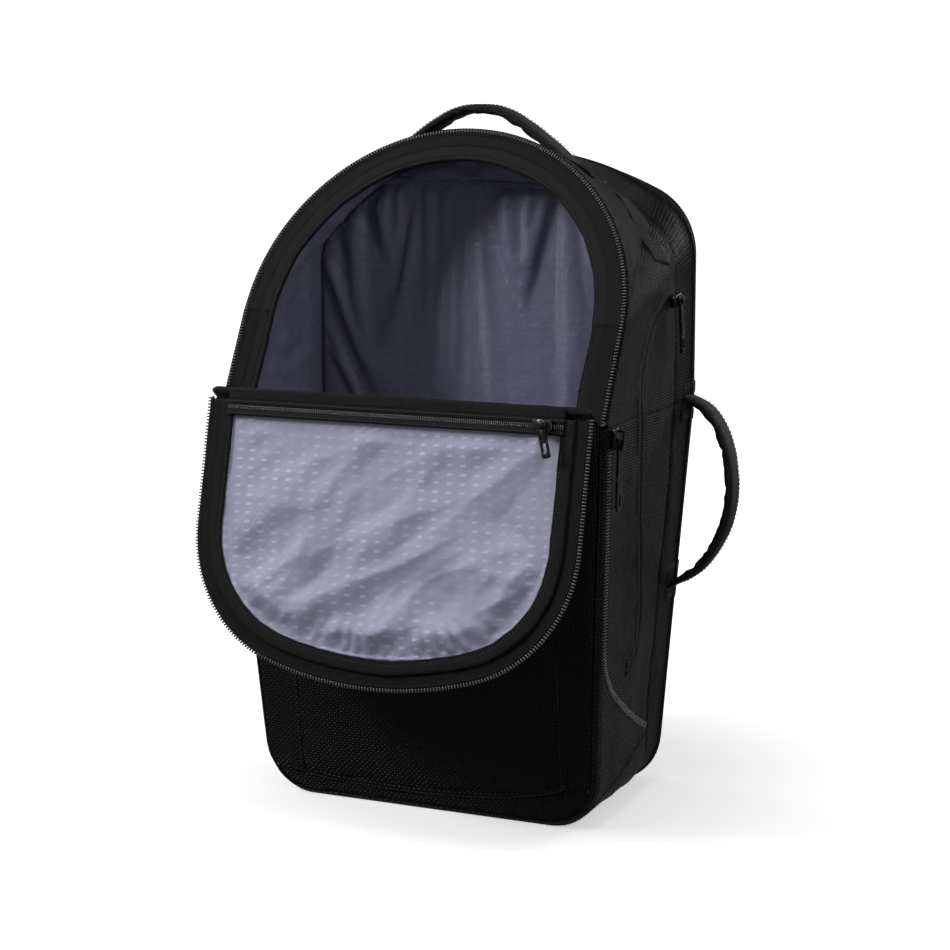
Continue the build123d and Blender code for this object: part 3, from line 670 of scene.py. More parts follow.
def skin(s, w, lift=0.0):
    """The cloth's outer face. Folds fade out towards the front edge, where the zip holds it."""
    spot = hull(s, w)
    normal = hull_normal(s, w)
    deep = (hull(s, 1.0) - hull(s, 0.0)).length
    from_front = w * deep
    from_rear = (1 - w) * deep
    loose = ease((from_front - 14) / 40) * ease((from_rear - 4) / 30)
    low = ease((150 - spot.z) / 120)
    high = ease((spot.z - 380) / 90) * ease((from_front - 30) / 40)
    crease = ripple((spot.x * 0.4, spot.y * 1.4, spot.z * 0.55), 46, 3.0) * (1.1 + 0.9 * low + 1.1 * high)
    crease -= high * 2.2 * abs(ripple((spot.x, spot.y * 0.6, spot.z * 1.2), 30, 13.0))
    fine = ripple((spot.x, spot.y * 2.0, spot.z * 0.9), 17, 8.0) * 0.45
    seam = near_line(from_rear, 44, 7) * 1.6
    relief = loose * (crease + fine - 0.5) - seam
    relief = min(relief, 1.3)
    inward = 0.0
    if from_front < front_round and s >= 5.0:
        inward = front_round - sqrt(max(0.0, front_round ** 2 - (front_round - from_front) ** 2))
    if from_rear < rear_round:
        inward = rear_round - sqrt(max(0.0, rear_round ** 2 - (rear_round - from_rear) ** 2)) 
        inward = min(inward, rear_round * 0.7)
    inward = min(inward, front_round * 0.55)
    place = spot + normal * (relief - inward + lift)
    place.z = max(place.z, 0.6 - lift)
    return place


def shell_patch(first, last, low_w, high_w, rows, spacing=5.0, lift=0.0):
    """Part of the shell between two stretches; low_w and high_w give its depth at each s."""
    columns = stops(first, last, spacing)

    def place(i, j):
        s = columns[i]
        share = j / rows
        return skin(s, low_w(s) + share * (high_w(s) - low_w(s)), lift)

    count = len(columns) - 1
    length = sum((hull(columns[i + 1], 0.5) - hull(columns[i], 0.5)).length for i in range(count))
    return grid_shape(count, rows, place, (length * mm, 0.155))


def cut_shape(shape, point, normal):
    """Keeps what lies on the side that the normal points away from."""
    geometry = shape.verts[:] + shape.edges[:] + shape.faces[:]
    bmesh.ops.bisect_plane(shape, geom=geometry, plane_co=Vector(point) * mm, plane_no=normal,
                           clear_outer=True, dist=1e-6)
    return shape


def seam_w(s):
    return depth_share(s, seam_y)


# %% Gusset, sides, boot and rear gusset
gusset = add_mesh("top_gusset_cloth", shell_patch(0, 5, lambda s: 0.0, seam_w, 34))
cloth_thickness(gusset, 1.6)
finish_piece(gusset, "bag", ballistic, "top_gusset")

boot_front = 17.0
boot_rear = 56.0
boot_climb = (boot_rear - boot_front) / (seam_y - front_y_low)
boot_slope = atan2(boot_rear - boot_front, seam_y - front_y_low)
boot_point = (0, front_y_low, boot_front)
boot_up = Vector((0, -sin(boot_slope), cos(boot_slope)))
for name, material, node, cuts in (
        ("side_cloth_right", ballistic, "side_panel_right",
         [(boot_point, -boot_up), ((0, 0, 0), (-1, 0, 0))]),
        ("side_cloth_left", ballistic, "side_panel_left", [(boot_point, -boot_up), ((0, 0, 0), (1, 0, 0))]),
        ("boot_cloth", boot_cloth, "base_panel", [(boot_point, boot_up)])):
    shape = shell_patch(5, 10, lambda s: 0.0, seam_w, 30, lift=0.5 if node == "base_panel" else 0.0)
    for point, normal in cuts:
        cut_shape(shape, point, normal)
    piece = add_mesh(name, shape)
    cloth_thickness(piece, 1.6)
    finish_piece(piece, "bag", material, node)

shape = shell_patch(0, 10, seam_w, lambda s: 1.0, 12)
bmesh.ops.remove_doubles(shape, verts=shape.verts, dist=1e-5)
rear_cloth = add_mesh("rear_gusset_cloth", shape)
cloth_thickness(rear_cloth, 1.6)
finish_piece(rear_cloth, "bag", ballistic, "rear_gusset")

# %% [markdown]
# ## Front and back panels
#
# Both are rounded outlines filled with quads. A square grid is drawn out so that its rings follow the
# outline, which keeps the cells square in the middle and needs no pole. Each panel then bulges and
# rolls back along its edge to meet the side wall.

# %% Filling an outline
def outline_points(stretches, each=24):
    points = []
    for s in range(len(stretches)):
        points += [tuple(along(stretches, s + i / each)) for i in range(each)]
    points.append(tuple(along(stretches, len(stretches) - 1e-6)))
    return points


class Fill:
    """Spreads a square grid, -1 to 1 each way, over a rounded outline seen from its centre."""

    def __init__(self, points, centre, half):
        self.centre = Vector(centre)
        self.half = Vector(half)
        around = sorted((atan2(p[1] - centre[1], p[0] - centre[0]), p) for p in points)
        self.angles = [a for a, p in around]
        self.points = [Vector(p) for a, p in around]

    def rim(self, direction):
        """Where a ray from the centre leaves the outline."""
        index = bisect(self.angles, atan2(direction.y, direction.x)) % len(self.points)
        a, b = self.points[index - 1], self.points[index]
        edge = b - a
        start = a - self.centre
        cross = direction.x * edge.y - direction.y * edge.x
        if abs(cross) < 1e-9:
            return a
        return self.centre + direction * ((start.x * edge.y - start.y * edge.x) / cross)

    def at(self, a, b):
        ring = max(abs(a), abs(b))
        if ring < 1e-9:
            return self.centre.copy(), min(self.half)
        direction = Vector((a / ring * self.half.x, b / ring * self.half.y))
        rim = self.rim(direction)
        spot = self.centre + (rim - self.centre) * ring
        return spot, (rim - self.centre).length * (1 - ring)


def filled_panel(fill, face, columns, rows, lift):
    """A panel on a flat face; lift(x, y, from_rim) is how far its cloth stands off the face."""

    def spot_of(i, j):
        return fill.at(2 * i / columns - 1, 2 * j / rows - 1)

    def place(i, j):
        spot, from_rim = spot_of(i, j)
        return face.at(spot.x, spot.y, lift(spot.x, spot.y, from_rim))

    return grid_shape(columns, rows, place, lambda i, j: spot_of(i, j)[0] * mm)


def rolled(from_rim, radius):
    """How far an edge rolls back at a distance from the rim."""
    if from_rim >= radius:
        return 0.0
    return radius - sqrt(max(0.0, radius ** 2 - (radius - from_rim) ** 2))


# %% Front panel
panel_fill = Fill(outline_points(panel_hoop) + [(x, panel_run) for x in range(-160, 161, 20)],
                  (0, 170), (160, 168))


def front_lift(x, y, from_rim):
    bulge = 4.2 * ease(from_rim / 70) + 0.6
    tuck = near_line(y, 20 + 0.0007 * x * x * (1 if x > 0 else 0.2), 5) * 1.6
    tuck += (near_line(x, -115, 4) + near_line(x, 125, 4)) * 1.1 * ease((y - 20) / 20)
    folds = ripple((x, y * 0.7, 0), 52, 5.0) * 1.1 * ease(from_rim / 30)
    folds += ripple((x, y * 2.0, 4), 21, 9.0) * 0.5 * ease((70 - y) / 60)
    return bulge + folds - tuck - min(rolled(from_rim, front_round), front_round * 0.5) + 0.8


shape = filled_panel(panel_fill, panel_face, 84, 84, front_lift)
cut_shape(shape, (0, 0, 0.5), (0, 0, -1))
front_panel = add_mesh("front_panel_cloth", shape)
cloth_thickness(front_panel, 2.0)
finish_piece(front_panel, "bag", ballistic, "front_lower_panel")
print("front panel", len(front_panel.data.polygons), "faces")

# %% Back panel
back_thick = 12.0
rear_outline = [(p[0], p[1] + fold_height) for p in outline_points(rear_hoop)] + outline_points(rear_low_hoop)
back_fill = Fill(rear_outline, (0, 270), (168, 268))
behind = Face((0, rear_y, 0), (-1, 0, 0), (0, 1, 0))


def back_lift(x, y, from_rim):
    edge = ease(from_rim / 16)
    dimple = ripple((x, y, 2), 40, 12.0) * 0.6 * edge
    return back_thick * (0.25 + 0.75 * edge) + dimple - 0.6


back_panel = add_mesh("back_panel_cloth", filled_panel(back_fill, behind, 72, 110, back_lift))
cloth_thickness(back_panel, 3.0)
finish_piece(back_panel, "bag", ballistic, "back_panel")
print("back panel", len(back_panel.data.polygons), "faces")

# %% [markdown]
# ## Letting cloth settle
#
# Thin lining can't be drawn well by a formula: its creases run from wherever it is held. So the two
# large lining panels are cut a little bigger than the frame they are sewn to, held along their seams
# and left to fall for a second. `settle` runs Blender's cloth on a piece, keeps the shape and removes
# the simulation. It limits how far a point may stray, so the cloth stays in its own space.

# %% Cloth simulation
scene = bpy.context.scene


def settle(piece, held, frames, spare, most, push=0.0, gravity=1.0, bending=0.4):
    """held(co) is 1 where the piece is sewn down; spare is the extra cloth; most(co) limits the stray."""
    start = [v.co.copy() for v in piece.data.vertices]
    group = piece.vertex_groups.new(name="held")
    for vertex in piece.data.vertices:
        weight = held(vertex.co)
        if weight > 0:
            group.add([vertex.index], weight, "REPLACE")
    cloth = piece.modifiers.new("cloth", "CLOTH")
    rules = cloth.settings
    rules.quality = 5
    rules.mass = 0.12
    rules.tension_stiffness = rules.compression_stiffness = 12.0
    rules.shear_stiffness = 3.0
    rules.bending_stiffness = bending
    rules.air_damping = 2.0
    rules.vertex_group_mass = "held"
    rules.shrink_min = rules.shrink_max = -spare
    rules.effector_weights.gravity = gravity
    if push:
        rules.use_pressure = True
        rules.uniform_pressure_force = push
    cloth.collision_settings.use_collision = False
    cloth.point_cache.frame_start = 1
    cloth.point_cache.frame_end = frames
    scene.frame_end = frames
    for number in range(1, frames + 1):
        scene.frame_set(number)
    shown = piece.evaluated_get(bpy.context.evaluated_depsgraph_get())
    settled = [v.co.copy() for v in shown.data.vertices]
    piece.modifiers.remove(cloth)
    piece.vertex_groups.remove(group)
    scene.frame_set(1)
    for vertex, old, new in zip(piece.data.vertices, start, settled):
        stray = new - old
        limit = most(old)
        if stray.length > limit:
            stray *= limit / stray.length
        vertex.co = old + stray
    piece.data.update()
    return start


def area_of(piece):
    return sum(p.area for p in piece.data.polygons)


def declare_sheet(piece, width, length):
    """Prints the width x length in metres that the piece was cut to, and its area now."""
    print(piece.name, "cut", round(width, 3), "x", round(length, 3), "m, area now", round(area_of(piece), 4))


# %% Cut sizes of the shell
for piece, width, length in (
        (gusset, 0.750, 0.076), (bpy.data.objects["side_cloth_right"], 0.140, 0.315),
        (bpy.data.objects["side_cloth_left"], 0.140, 0.315), (bpy.data.objects["boot_cloth"], 0.560, 0.078),
        (rear_cloth, 1.560, 0.048), (front_panel, 0.335, 0.330), (back_panel, 0.335, 0.540)):
    declare_sheet(piece, width, length)

# %% [markdown]
# ## Lining of the main compartment
#
# The lining is a bag inside the bag. It hangs from the binding round the mouth, follows the walls and
# ends on the laptop sleeve behind. The sleeve's own face is gathered on a seam near the top, and its
# folds fall from there. The floor of the lining lies over the stiffener sheet.

# %% Lining tunnel
inner_hoop = arch(170.0 - binding_in + 1.5, mouth_height - binding_in + 1.5, 82.0, 132.0 - binding_in + 1.5)
lining_inset = 4.8
floor_inset = 8.6


def lining_wall(s, share):
    end = depth_share(s, sleeve_y - 0.5)
    w = share * end
    spot, normal = hull(s, w), hull_normal(s, w)
    under = ease((-normal.z - 0.5) / 0.3)
    deep = (hull(s, end) - hull(s, 0.0)).length * share
    fold = abs(ripple((spot.x, spot.y * 0.35, spot.z), 24, 21.0)) * 4.5 + abs(ripple(
        (spot.x, spot.y * 0.6, spot.z), 11, 5.0)) * 1.4
    fold *= ease(deep / 26) * ease((1 - share) * 5)
    inset = lining_inset + under * (floor_inset - lining_inset) + fold * (1 - under * 0.8)
    place = spot - normal * inset
    if s < 5.0:
        rim = mouth_face.at(*along(inner_hoop, s), -1.6)
        place = rim.lerp(place, ease(deep / 46))
    return place


columns = stops(0, 10, 5.0)
shape = grid_shape(len(columns) - 1, 34, lambda i, j: lining_wall(columns[i], j / 34), (1.48, 0.15))
bmesh.ops.remove_doubles(shape, verts=shape.verts, dist=1e-5)
bmesh.ops.reverse_faces(shape, faces=shape.faces)
tunnel = add_mesh("main_lining_cloth", shape)
cloth_thickness(tunnel, 0.5)
finish_piece(tunnel, "bag", shaded_lining_cloth, "main_lining")
declare_sheet(tunnel, 1.48, 0.155)

# %% Gathered face of the laptop sleeve
sleeve_seam = 513.0


def sleeve_outline():
    points = []
    for index in range(400):
        s = index / 40
        w = depth_share(s, sleeve_y)
        spot = hull(s, w) - hull_normal(s, w) * (lining_inset + 0.6)
        points.append((spot.x, spot.z))
    return points


sleeve_points = sleeve_outline()
sleeve_fill = Fill(sleeve_points, (0, 275), (162, 262))
sleeve_face = Face((0, sleeve_y, 0), (1, 0, 0), (0, -1, 0))


def gathers(x, y, from_rim):
    """Folds that fall from the seam and die out on the way down."""
    below = sleeve_seam - y
    lift = 1.5
    if below > 0:
        fan = x + below * 0.10 * (x / 90 + 0.3 * ripple((x, 0, 0), 70, 2.0))
        fade = ease(below / 10) * (0.25 + 0.75 * ease(1 - below / 170))
        broad = 7.0 * ripple((fan, below * 0.12, 0), 34, 31.0)
        lift += fade * (4.6 + broad + 2.2 * ripple((fan, below * 0.2, 0), 12, 4.0))
    else:
        lift += 2.0 + 2.2 * ripple((x * 0.6, y * 1.4, 0), 22, 6.0)
    pinch = near_line(y, sleeve_seam, 4.0)
    sewn = pinch * (0.6 + 0.6 * ripple((x * 2, 0, 0), 6, 1.0))
    return max(0.4, lift * (1 - pinch) * ease(from_rim / 12) + sewn)


sleeve_cloth = add_mesh("sleeve_lining_cloth", filled_panel(sleeve_fill, sleeve_face, 96, 150, gathers))


def sleeve_held(co):
    x, z = co.x / mm, co.z / mm
    spot = Vector((x, z)) - sleeve_fill.centre
    rim = sleeve_fill.rim(spot.normalized() if spot.length else Vector((1, 0)))
    from_rim = (rim - sleeve_fill.centre).length - spot.length
    return 1.0 if from_rim < 4 or abs(z - sleeve_seam) < 2.0 else 0.0


settle(sleeve_cloth, sleeve_held, 22, 0.035, lambda co: 0.010, gravity=0.7)
for vertex in sleeve_cloth.data.vertices:
    vertex.co.y = min(vertex.co.y, (sleeve_y - 0.3) * mm)
cloth_thickness(sleeve_cloth, 0.5)
finish_piece(sleeve_cloth, "bag", shaded_lining_cloth, "laptop_sleeve")
declare_sheet(sleeve_cloth, 0.345, 0.545)

# %% Welt on the sleeve's seam
def welt_line():
    """The seam from wall to wall, just in front of the gathers."""
    reach = max(abs(p[0]) for p in sleeve_points if abs(p[1] - sleeve_seam) < 8) - 5
    steps = 60
    return [Vector((-reach + 2 * reach * k / steps, sleeve_y - 2.6, sleeve_seam + 1.5 * sin(k / 9.0)))
            for k in range(steps + 1)]


# %% Lining behind the front panel
def pocket_side(x, y, from_rim):
    return -1.4 - (1.2 + 1.6 * ripple((x, y * 0.5, 0), 30, 14.0)) * ease(from_rim / 14)


inner_fill = Fill([(p[0] * 0.965, max(p[1], 7.0)) for p in outline_points(panel_hoop)]
                  + [(x, panel_run - 1) for x in range(-160, 161, 20)], (0, 170), (156, 162))
shape = filled_panel(inner_fill, panel_face, 60, 60, pocket_side)
bmesh.ops.reverse_faces(shape, faces=shape.faces)
front_inner = add_mesh("front_inner_lining", shape)
cloth_thickness(front_inner, 0.5)
finish_piece(front_inner, "bag", shaded_lining_cloth)
declare_sheet(front_inner, 0.33, 0.335)

# %% [markdown]
# ## Strips, teeth and stitches
#
# Tapes, bindings, webbing and handles are all strips: one cross-section carried along a path. A path
# is a list of stations, each with its place, its sideways direction and its outward direction. Teeth
# and stitches are one small shape copied to stations at their pitch, and each has only a few dozen
# faces because there are hundreds of them.

# %% Strips
class Station:
    """A place on a path with its direction, sideways direction and outward direction."""

    def __init__(self, place, way, out):
        self.place = Vector(place)
        self.way = Vector(way).normalized()
        self.out = (Vector(out) - self.way * Vector(out).dot(self.way)).normalized()
        self.side = self.way.cross(self.out)

    def at(self, side, out):
        return self.place + side * self.side + out * self.out


def path_of(places, outs):
    """Stations through a list of places, with an outward direction for each."""
    made = []
    for i, place in enumerate(places):
        before, after = places[max(0, i - 1)], places[min(len(places) - 1, i + 1)]
        made.append(Station(place, after - before, outs[i]))
    return made


def path_length(path):
    return sum((b.place - a.place).length for a, b in zip(path, path[1:]))


def spaced(path, pitch):
    """Stations at an even pitch along a path."""
    made = []
    left = pitch / 2
    for a, b in zip(path, path[1:]):
        gap = (b.place - a.place).length
        while left <= gap:
            t = left / gap
            made.append(Station(a.place.lerp(b.place, t), a.way.lerp(b.way, t), a.out.lerp(b.out, t)))
            left += pitch
        left -= gap
    return made


def smooth_line(points, step):
    """A curve through a few chosen points, sampled about every step."""
    points = [Vector(p) for p in points]
    made = []
    for i in range(len(points) - 1):
        p0, p1, p2 = points[max(0, i - 1)], points[i], points[i + 1]
        p3 = points[min(len(points) - 1, i + 2)]
        count = max(1, round((p2 - p1).length / step))
        for k in range(count):
            t = k / count
            made.append(0.5 * (2 * p1 + (p2 - p0) * t + (2 * p0 - 5 * p1 + 4 * p2 - p3) * t * t
                               + (3 * p1 - p0 - 3 * p2 + p3) * t ** 3))
    return made + [points[-1]]


def strip(name, path, profile, wave=0.0, seed=0.0, change=None):
    """Carries a closed profile of (side, out) along a path; change(i, side, out) may reshape it."""
    rows = len(profile)

    def place(i, j):
        side, out = profile[j % rows]
        if change:
            side, out = change(i, side, out)
        if wave:
            side += wave * ripple(path[i].place, 34, seed)
            out += wave * 0.4 * ripple(path[i].place, 15, seed + 3)
        spot = path[i].at(side, out)
        spot.z = max(spot.z, 0.3)
        return spot

    around = sum(hypot(b[0] - a[0], b[1] - a[1]) for a, b in zip(profile, profile[1:] + profile[:1]))
    shape = grid_shape(len(path) - 1, rows, place, (path_length(path) * mm, around * mm), ring=True)
    bmesh.ops.holes_fill(shape, edges=[e for e in shape.edges if e.is_boundary], sides=0)
    bmesh.ops.recalc_face_normals(shape, faces=shape.faces)
    return add_mesh(name, shape)


def band_profile(width, thick, groove=0.0, steps=3):
    """A flat band with rounded edges; groove sinks a stitch line near its inner edge."""
    half = width / 2
    edge = min(thick / 2, 0.8)
    points = [(-half, 0), (-half, thick - edge), (-half + edge, thick)]
    if groove:
        points += [(-half + 1.8, thick), (-half + 2.5, thick - groove), (-half + 3.2, thick)]
    points += [(-half + width * k / (steps + 1), thick) for k in range(2 if groove else 1, steps + 1)]
    points += [(half - edge, thick), (half, thick - edge), (half, 0)]
    return points


def soft_profile(width, thick, count=20, power=2.6, centre=0.0):
    """A stuffed band: a rounded, slightly square oval."""
    made = []
    for k in range(count):
        angle = -2 * pi * k / count
        c, s = cos(angle), sin(angle)
        made.append((width / 2 * abs(c) ** (2 / power) * (1 if c > 0 else -1),
                     centre + thick / 2 * abs(s) ** (2 / power) * (1 if s > 0 else -1)))
    return made


# %% Copies of one small shape
def tooth_mesh(size, bevel):
    shape = bmesh.new()
    bmesh.ops.create_cube(shape, size=1.0)
    bmesh.ops.scale(shape, vec=Vector(size) * mm, verts=shape.verts)
    bmesh.ops.bevel(shape, geom=shape.edges[:], offset=bevel * mm, segments=1, affect="EDGES", profile=0.5,
                    material=-1)
    data = bpy.data.meshes.new("small_shape")
    shape.to_mesh(data)
    shape.free()
    return data


def copies(name, stations, template, side=0.0, out=0.0, twist=0.0):
    """One small shape at every station. Its x lies along the path, y sideways and z outwards."""
    shape = bmesh.new()
    for station in stations:
        place = station.at(side, out) * mm
        matrix = Matrix((station.way, station.side, station.out)).transposed().to_4x4()
        if twist:
            matrix = matrix @ Matrix.Rotation(twist, 4, "Z")
        copy = template.copy()
        copy.transform(Matrix.Translation(place) @ matrix)
        shape.from_mesh(copy)
        bpy.data.meshes.remove(copy)
    return add_mesh(name, shape)


coil_tooth = tooth_mesh((1.35, 3.2, 1.9), 0.42)
fine_tooth = tooth_mesh((0.95, 2.3, 1.0), 0.28)
stitch = tooth_mesh((2.3, 0.55, 0.5), 0.16)
coil_pitch = 2.6


def add_stitches(name, path, body, side, out, pitch=3.4):
    made = copies(name, spaced(path, pitch), stitch, side, out)
    return finish_piece(made, body, thread_finish)


print("strip tools ready")

# %% Welt of the sleeve
welt_path = path_of(welt_line(), [Vector((0, -1, 0))] * 61)
welt_profile = [(-2.4, -1.5), (-2.2, 0.6), (0, 1.2), (2.2, 0.6), (2.4, -1.5)]
welt = strip("sleeve_welt", welt_path, welt_profile, 0.5, 4.0)
finish_piece(welt, "bag", shaded_lining_cloth)
add_stitches("sleeve_welt_stitches", welt_path, "bag", 0.4, 1.1)

# %% [markdown]
# ## Rim of the mouth
#
# From the outside in, the mouth has half a zip chain, its tape, and a binding that wraps the raw edges
# of shell and lining. The binding is sewn by hand round a curve, so it wavers a little and puckers.

# %% Mouth rim
def rim_path(face, stretches, step, lift=0.0):
    """Stations along a hoop; out is the face's own outward side."""
    places = []
    for index in range(len(stretches)):
        length = (stretches[index](1.0) - stretches[index](0.0)).length * 1.12
        count = max(2, ceil(length / step))
        places += [face.at(*stretches[index](k / count), lift) for k in range(count)]
    places.append(face.at(*stretches[-1](1.0), lift))
    return path_of(places, [face.outward] * len(places))


def mouth_arch(inset):
    return arch(170.0 - inset, mouth_height - inset, 82.0, 132.0 - inset)


flap_length = 229.0


def flap_arch(inset):
    return arch(170.0 - inset, flap_length - inset, 108.0, 112.0 - inset)


rim = rim_path(mouth_face, mouth_arch(1.5), 3.0)
teeth = copies("main_zip_coil", spaced(rim, coil_pitch), coil_tooth, 0.0, 1.6)
finish_piece(teeth, "bag", coil_plastic, "main_zip_teeth")
tape_path = rim_path(mouth_face, mouth_arch(8.5), 4.0)
tape = strip("main_zip_cloth", tape_path, band_profile(13.5, 1.1), 0.25, 2.0)
finish_piece(tape, "bag", zip_cloth, "main_zip_tape")
cord_path = rim_path(mouth_face, mouth_arch(4.4), 3.0, 0.8)
coil_bed = strip("main_zip_coil_bed", cord_path, soft_profile(2.4, 1.6, 8))
finish_piece(coil_bed, "bag", zip_cloth)
bind_path = rim_path(mouth_face, mouth_arch(20.5), 4.0, -2.6)


def pucker(i, side, out):
    edge = 1.0 if abs(side) > 4 else 0.4
    along_way = i * 4.0
    return (side + 0.35 * ripple((along_way, side, 0), 9, 7.0) * edge,
            out + 0.35 * ripple((along_way, side, 5), 12, 5.0))


binding = strip("opening_binding_tape", bind_path, band_profile(13.0, 3.4, 0.8), 0.5, 11.0, pucker)
finish_piece(binding, "bag", binding_cloth, "opening_binding")
add_stitches("opening_binding_stitches", bind_path, "bag", -4.0, 2.9)
print("mouth rim", len(teeth.data.polygons), "tooth faces")

# %% [markdown]
# ## The flap
#
# The flap is the zipped upper part of the front, folded down. Its inside now faces out: shiny lining
# that is cut too large, so it puffs, sags towards the bottom and is gathered along the binding. The
# fold itself is a soft roll that turns with its own body, and the zip chain runs over its ends.

# %% Flap outline and shell
fold_offset = 8.6
band_length = 16.0
band_rest = radians(50.0)
hang = radians(13.0)
fold_line = Vector((0, front_y_high - fold_offset * cos(lean), fold_height + fold_offset * sin(lean)))
crest_line = fold_line + band_length * Vector((0, -sin(band_rest), cos(band_rest)))
flap_face = Face(crest_line, (-1, 0, 0), (0, -cos(hang), sin(hang)))
flap_start = 3.6


def flap_fill(inset, start):
    points = [p for p in outline_points(flap_arch(inset)) if p[1] > start]
    points += [(x, start) for x in range(-160, 161, 10) if abs(x) < 170 - inset]
    points += [(170 - inset, start), (inset - 170, start)]
    end = flap_length - inset
    return Fill(points, (0, (end + start) / 2), (168 - inset, (end - start) / 2))


def flap_back(x, y, from_rim):
    return -3.0 - 1.5 * ease(from_rim / 30) - 1.2 * ripple((x, y, 0), 45, 2.0) * ease(from_rim / 30)


shape = filled_panel(flap_fill(5.5, flap_start), flap_face, 70, 50, flap_back)
bmesh.ops.reverse_faces(shape, faces=shape.faces)
flap_shell = add_mesh("flap_panel_cloth", shape)
cloth_thickness(flap_shell, 2.2)
finish_piece(flap_shell, "flap", ballistic, "flap_panel")
declare_sheet(flap_shell, 0.335, 0.222)

# %% Flap lining
lining_fill = flap_fill(24.5, flap_start + 1.0)


def flap_puff(x, y, from_rim):
    sag = ease((y - 30) / 140)
    body = ease(from_rim / 24)
    lean_x, lean_y = x * 0.8 + y * 0.6, y * 0.8 - x * 0.6
    broad = 6.4 * (0.45 - abs(ripple((lean_x * 0.42, lean_y, 0), 50, 17.0)))
    soft = 2.3 * ripple((x, y, 0), 46, 5.0) + 1.5 * ripple((lean_x * 0.5, lean_y * 1.5, 0), 24, 23.0)
    puff = 4.6 + 2.4 * sag + (soft + broad) * (0.45 + 0.75 * sag)
    return 1.4 + body * max(0.4, puff) * ease((y - flap_start - 13) / 16)


flap_cloth = add_mesh("flap_lining_cloth", filled_panel(lining_fill, flap_face, 120, 84, flap_puff))


def flap_spot(co):
    """Where a point lies on the flap: across, down and from the sewn rim."""
    away = co / mm - flap_face.origin
    x, y = away.dot(flap_face.across), away.dot(flap_face.up)
    spot = Vector((x, y)) - lining_fill.centre
    reach = (lining_fill.rim(spot.normalized()) - lining_fill.centre).length if spot.length > 1e-6 else 100.0
    return x, y, reach - spot.length


def flap_held(co):
    x, y, from_rim = flap_spot(co)
    return 1.0 if from_rim < 2.5 or y < flap_start + 17 else 0.0


settle(flap_cloth, flap_held, 26, 0.045, lambda co: 0.004, push=0.1, gravity=0.9, bending=0.25)
for vertex in flap_cloth.data.vertices:
    x, y, from_rim = flap_spot(vertex.co)
    around = atan2(y - 90, x) * 120
    low = ease((y - 100) / 60)
    phase = around / 2.3 + 2.6 * ripple((around, 0, 0), 24, 11.0)
    ruffle = (0.5 + 0.5 * sin(phase)) * (0.7 + 0.5 * ripple((around, 0, 0), 40, 41.0))
    ruffle *= (0.5 + 3.4 * low) * ease(from_rim / 5) * max(0.0, 1 - from_rim / 34)
    level = (vertex.co / mm - flap_face.origin).dot(flap_face.outward)
    lean_x, lean_y = x * 0.8 + y * 0.6, y * 0.8 - x * 0.6
    crease = 5.0 * (0.28 - abs(ripple((lean_x * 0.36, lean_y, 0), 38, 9.0)))
    crease += 3.2 * (0.25 - abs(ripple((x * 0.9 - y * 0.5, y * 0.4 + x * 0.2, 4), 30, 27.0)))
    ruffle += crease * ease(from_rim / 22) * ease((y - flap_start - 16) / 26) * (0.5 + 0.6 * low)
    want = min(max(level + ruffle, 0.7), 24.0)
    vertex.co += flap_face.outward * (want - level) * mm
cloth_thickness(flap_cloth, 0.45, 1)
finish_piece(flap_cloth, "flap", flap_lining_cloth, "flap_lining")
declare_sheet(flap_cloth, 0.305, 0.215)

# %% Flap rim
def rim_below(path, face, start):
    """The stations of a rim that lie past the start line."""
    return [s for s in path if (s.place - face.origin).dot(face.up) >= start]


flap_teeth_path = rim_below(rim_path(flap_face, flap_arch(1.5), 3.0), flap_face, flap_start)
flap_teeth = copies("flap_zip_coil", spaced(flap_teeth_path, coil_pitch), coil_tooth, 0.0, 0.6)
finish_piece(flap_teeth, "flap", coil_plastic, "flap_zip_teeth")
flap_tape_path = rim_below(rim_path(flap_face, flap_arch(8.5), 4.0), flap_face, flap_start)
flap_tape = strip("flap_zip_cloth", flap_tape_path, band_profile(13.5, 1.2), 0.3, 5.0)
finish_piece(flap_tape, "flap", zip_cloth, "flap_zip_tape")
flap_bed_path = rim_below(rim_path(flap_face, flap_arch(4.4), 3.0, 0.8), flap_face, flap_start)
flap_bed = strip("flap_zip_coil_bed", flap_bed_path, soft_profile(2.4, 1.6, 8))
finish_piece(flap_bed, "flap", zip_cloth)
flap_bind_path = rim_below(rim_path(flap_face, flap_arch(19.5), 4.0, 1.0), flap_face, flap_start)
flap_binding = strip("flap_binding_tape", flap_bind_path, band_profile(11.5, 3.0, 0.8), 0.5, 13.0, pucker)
finish_piece(flap_binding, "flap", binding_cloth, "flap_binding")
add_stitches("flap_binding_stitches", flap_bind_path, "flap", -3.3, 2.6)

# %% Soft roll at the fold
roll_half = 167.0
roll_radius = 3.3


def roll_place(i, j):
    x = -roll_half + 2 * roll_half * i / 96
    angle = 2 * pi * j / 20
    end = min(1.0, sqrt(max(0.0, 1 - max(0.0, abs(x) - roll_half + 3) ** 2 / 9.5)))
    way = (crest_line - fold_line).normalized()
    cross = Vector((0, way.z, -way.y))
    centre = crest_line if cos(angle) > 0 else fold_line
    radius = roll_radius * (0.4 + 0.6 * end) + 0.35 * ripple((x, j * 6, 0), 14, 3.0)
    return centre + way * cos(angle) * radius + cross * sin(angle) * radius + Vector((x, 0, 0))


roll = grid_shape(96, 20, roll_place, (0.34, 0.05), ring=True)
bmesh.ops.holes_fill(roll, edges=[e for e in roll.edges if e.is_boundary], sides=0)
bmesh.ops.recalc_face_normals(roll, faces=roll.faces)
fold_roll = add_mesh("fold_roll", roll)
finish_piece(fold_roll, "fold", binding_cloth, "fold_band")
print("flap done, crest at", tuple(round(c, 1) for c in crest_line))

# %% [markdown]
# ## Pocket zip in the flap
#
# A straight coil zip opens the pocket between the flap's shell and its lining. Its tape is one dark
# band with the closed coil along the middle, folded under at both ends.

